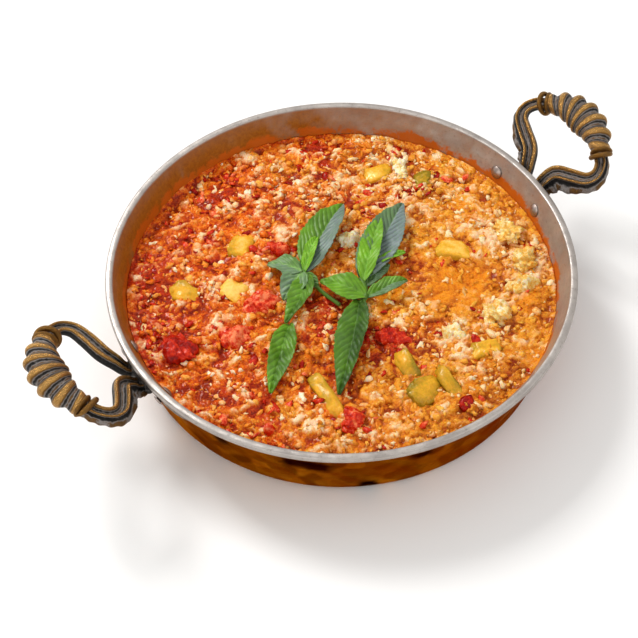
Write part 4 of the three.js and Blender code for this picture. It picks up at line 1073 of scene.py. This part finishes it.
def stem_body(points, radius):
    """A stalk: a four-sided section with round corners, as mint has, along a curve."""
    path = smooth_line(points, 40)
    along = unit(np.gradient(path, axis=0))
    across = unit(np.cross(along, (0, 0, 1)))
    lift = np.cross(across, along)
    turn = np.linspace(0, 2 * math.pi, 20, endpoint=False)[None]
    size = radius * (1 + 0.1 * np.cos(4 * turn)) + 0 * path[:, :1]
    rings = carried(path, across, lift, size * np.cos(turn), size * np.sin(turn))
    return rings, [0 * size + value for value in (0.1, 0.2, 0, 0)]


# Each leaf from its stalk to its tip, as x, y and height, and its width. The heights
# are against one another: a sprig's lowest point goes where its solid's is.
SPRIGS = {
    "mint_leaf_loose": [
        leaf_body((-24.4, -25.6, 2), (-32.8, -65.4, 2.2), 12, arch=2, fold=26, roll=-14, young_and_lit=(0.35, 0.6)),
    ],
    "mint_sprig_left": [
        stem_body([(-19, 7, 2.8), (-16, 3, 2.8), (-9.5, -6.5, 2.5), (-1, -15, 2.4)], 0.95),
        leaf_body(
            (-16.6, 5.8, 3), (1.8, 47.2, 5), 19, bow=1, fold=20, roll=-12, young_and_lit=(0.45, 0.2), painted_sheen=(0, 0.8), pale=-0.7
        ),
        leaf_body((-17.5, 5.3, 3.5), (-11.1, 23.8, 7), 6, fold=30, young_and_lit=1.0, pale=0.2),
        leaf_body(
            (-18.5, 4.9, 4), (-34.8, 10, 3.5), 13, arch=1.5, fold=12, roll=8, young_and_lit=0.45, painted_sheen=(0.6, 0.35), pale=0.5
        ),
        leaf_body(
            (-18.5, 4.2, 4), (-27.2, -12, 3), 13, arch=1.8, fold=12, roll=-6, young_and_lit=0.45, painted_sheen=(0.45, 0.6), pale=0.7
        ),
        leaf_body((-15.7, 3, 3.4), (-26.2, -26.4, 4.2), 11, arch=2.4, bow=2, fold=24, roll=12, young_and_lit=(0.3, 0.55)),
        leaf_body((-16.6, 3.8, 3), (-11.2, -4.6, 3.2), 6, arch=0.8, fold=14, young_and_lit=0.4, painted_sheen=(0.2, 0.1)),
    ],
    "mint_sprig_right": [
        stem_body([(9, -1, 3.6), (10.8, -7, 4.2), (11, -12, 3.8), (8.3, -16, 3.6)], 1.3),
        leaf_body((9.2, -1, 3.6), (30.9, 47, 4.5), 19, bow=-0.6, fold=16, roll=10, painted_sheen=(0.45, 1.0), pale=-0.9),
        leaf_body((10.1, -2.8, 4.5), (19.4, 33.9, 8.5), 11, arch=2, fold=24, roll=-8, young_and_lit=0.8, pale=-0.1),
        leaf_body((11, -4.7, 3), (22.9, 8.7, 3), 8, arch=1, young_and_lit=0.1, painted_sheen=(0.1, 0.3)),
        leaf_body((15, 6.5, 4.5), (30.6, 13.5, 6), 5, arch=1.4, fold=26, young_and_lit=0.95),
        leaf_body(
            (12.1, -11.9, 4), (30.9, -3.2, 5), 8, arch=1.8, fold=26, roll=10, young_and_lit=(0.6, 0.3), painted_sheen=(0.1, 0.4), pale=-0.3
        ),
        leaf_body((11.7, -12.7, 4.5), (-9.9, -2.6, 5), 13, arch=2.2, fold=12, roll=-8, young_and_lit=0.6, pale=-0.4),
        leaf_body((8.3, -13.3, 3.4), (-2.4, -66.6, 1.6), 15, bow=1.2, fold=30, roll=16, young_and_lit=(0, 0.3), pale=-0.5),
    ],
}

# Fresh leaf: thin enough for light to glow through, with a satin skin mottled at 4 mm,
# pale veins and vein grooves painted dark as shade, yellow-green when young and where a
# half is painted as lit, and a blue-grey painted sheen where its fine hairs would catch the light.
mint_leaf, tree, shader = finish_named(
    "fresh_mint_leaf",
    Roughness=0.46,
    Subsurface_Weight=0.25,
    Subsurface_Radius=(0.4, 1.0, 0.2),
    Subsurface_Scale=0.0006,
    Sheen_Weight=0.08,
    Sheen_Roughness=0.4,
)
place = node(tree, "ShaderNodeTexCoord").outputs["Object"]
LEAF_VALUES = ("vein", "young_and_lit", "painted_sheen", "underside")
vein, young_and_lit, painted_sheen, underside = (
    node(tree, "ShaderNodeAttribute", attribute_name=key).outputs["Fac"] for key in LEAF_VALUES
)
mottle = node(tree, "ShaderNodeTexNoise", [(place, "Vector")], in_Scale=260, in_Detail=5, in_Roughness=0.6)
shades = dict(data_type="RGBA", in_6=linear("#1A3404"), in_7=linear("#456C14"))
color = node(tree, "ShaderNodeMix", [(mottle.outputs["Fac"], "Factor")], **shades).outputs[2]
pale = node(tree, "ShaderNodeMapRange", [(vein, "Value")], in_1=0, in_2=1, in_3=0, in_4=0.6).outputs[0]
# Painted shade: the vein grooves are darkened where the vein value is below 0.
painted_groove_shade = node(tree, "ShaderNodeMapRange", [(vein, "Value")], in_1=0, in_2=-1, in_3=0, in_4=0.75).outputs[0]
# The grey-blue coat is a painted sheen, and the young coat is also painted light on one half of some leaves.
coats = [(young_and_lit, "#7EB020"), (painted_sheen, "#7A8884"), (painted_groove_shade, "#122408"), (pale, "#A9D27C"), (underside, "#6E9158")]
for share, over in coats:
    links = [(share, "Factor"), (color, 6)]
    color = node(tree, "ShaderNodeMix", links, data_type="RGBA", in_7=linear(over)).outputs[2]
tree.links.new(color, shader.inputs["Base Color"])
leathery = node(tree, "ShaderNodeBump", [(mottle.outputs["Fac"], "Height")], in_Strength=0.4, in_Distance=0.0004)
tree.links.new(leathery.outputs[0], shader.inputs["Normal"])

for name, parts in SPRIGS.items():
    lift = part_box(name)[0].z / MM - min(rings[..., 2].min() for rings, _ in parts)
    bodies = []
    for rings, _ in parts:
        points, faces = closed_tube(rings + np.array([0, 0, lift]))
        bodies.append((from_diner(points), faces))
    fields = {key: np.concatenate([with_ends(v[i]) for _, v in parts]) for i, key in enumerate(LEAF_VALUES)}
    add_piece("fresh_" + name, bodies, [mint_leaf], [name], fields)

# ---------------------------------------------------------------------- the scene brought up to date

bpy.context.view_layer.update()
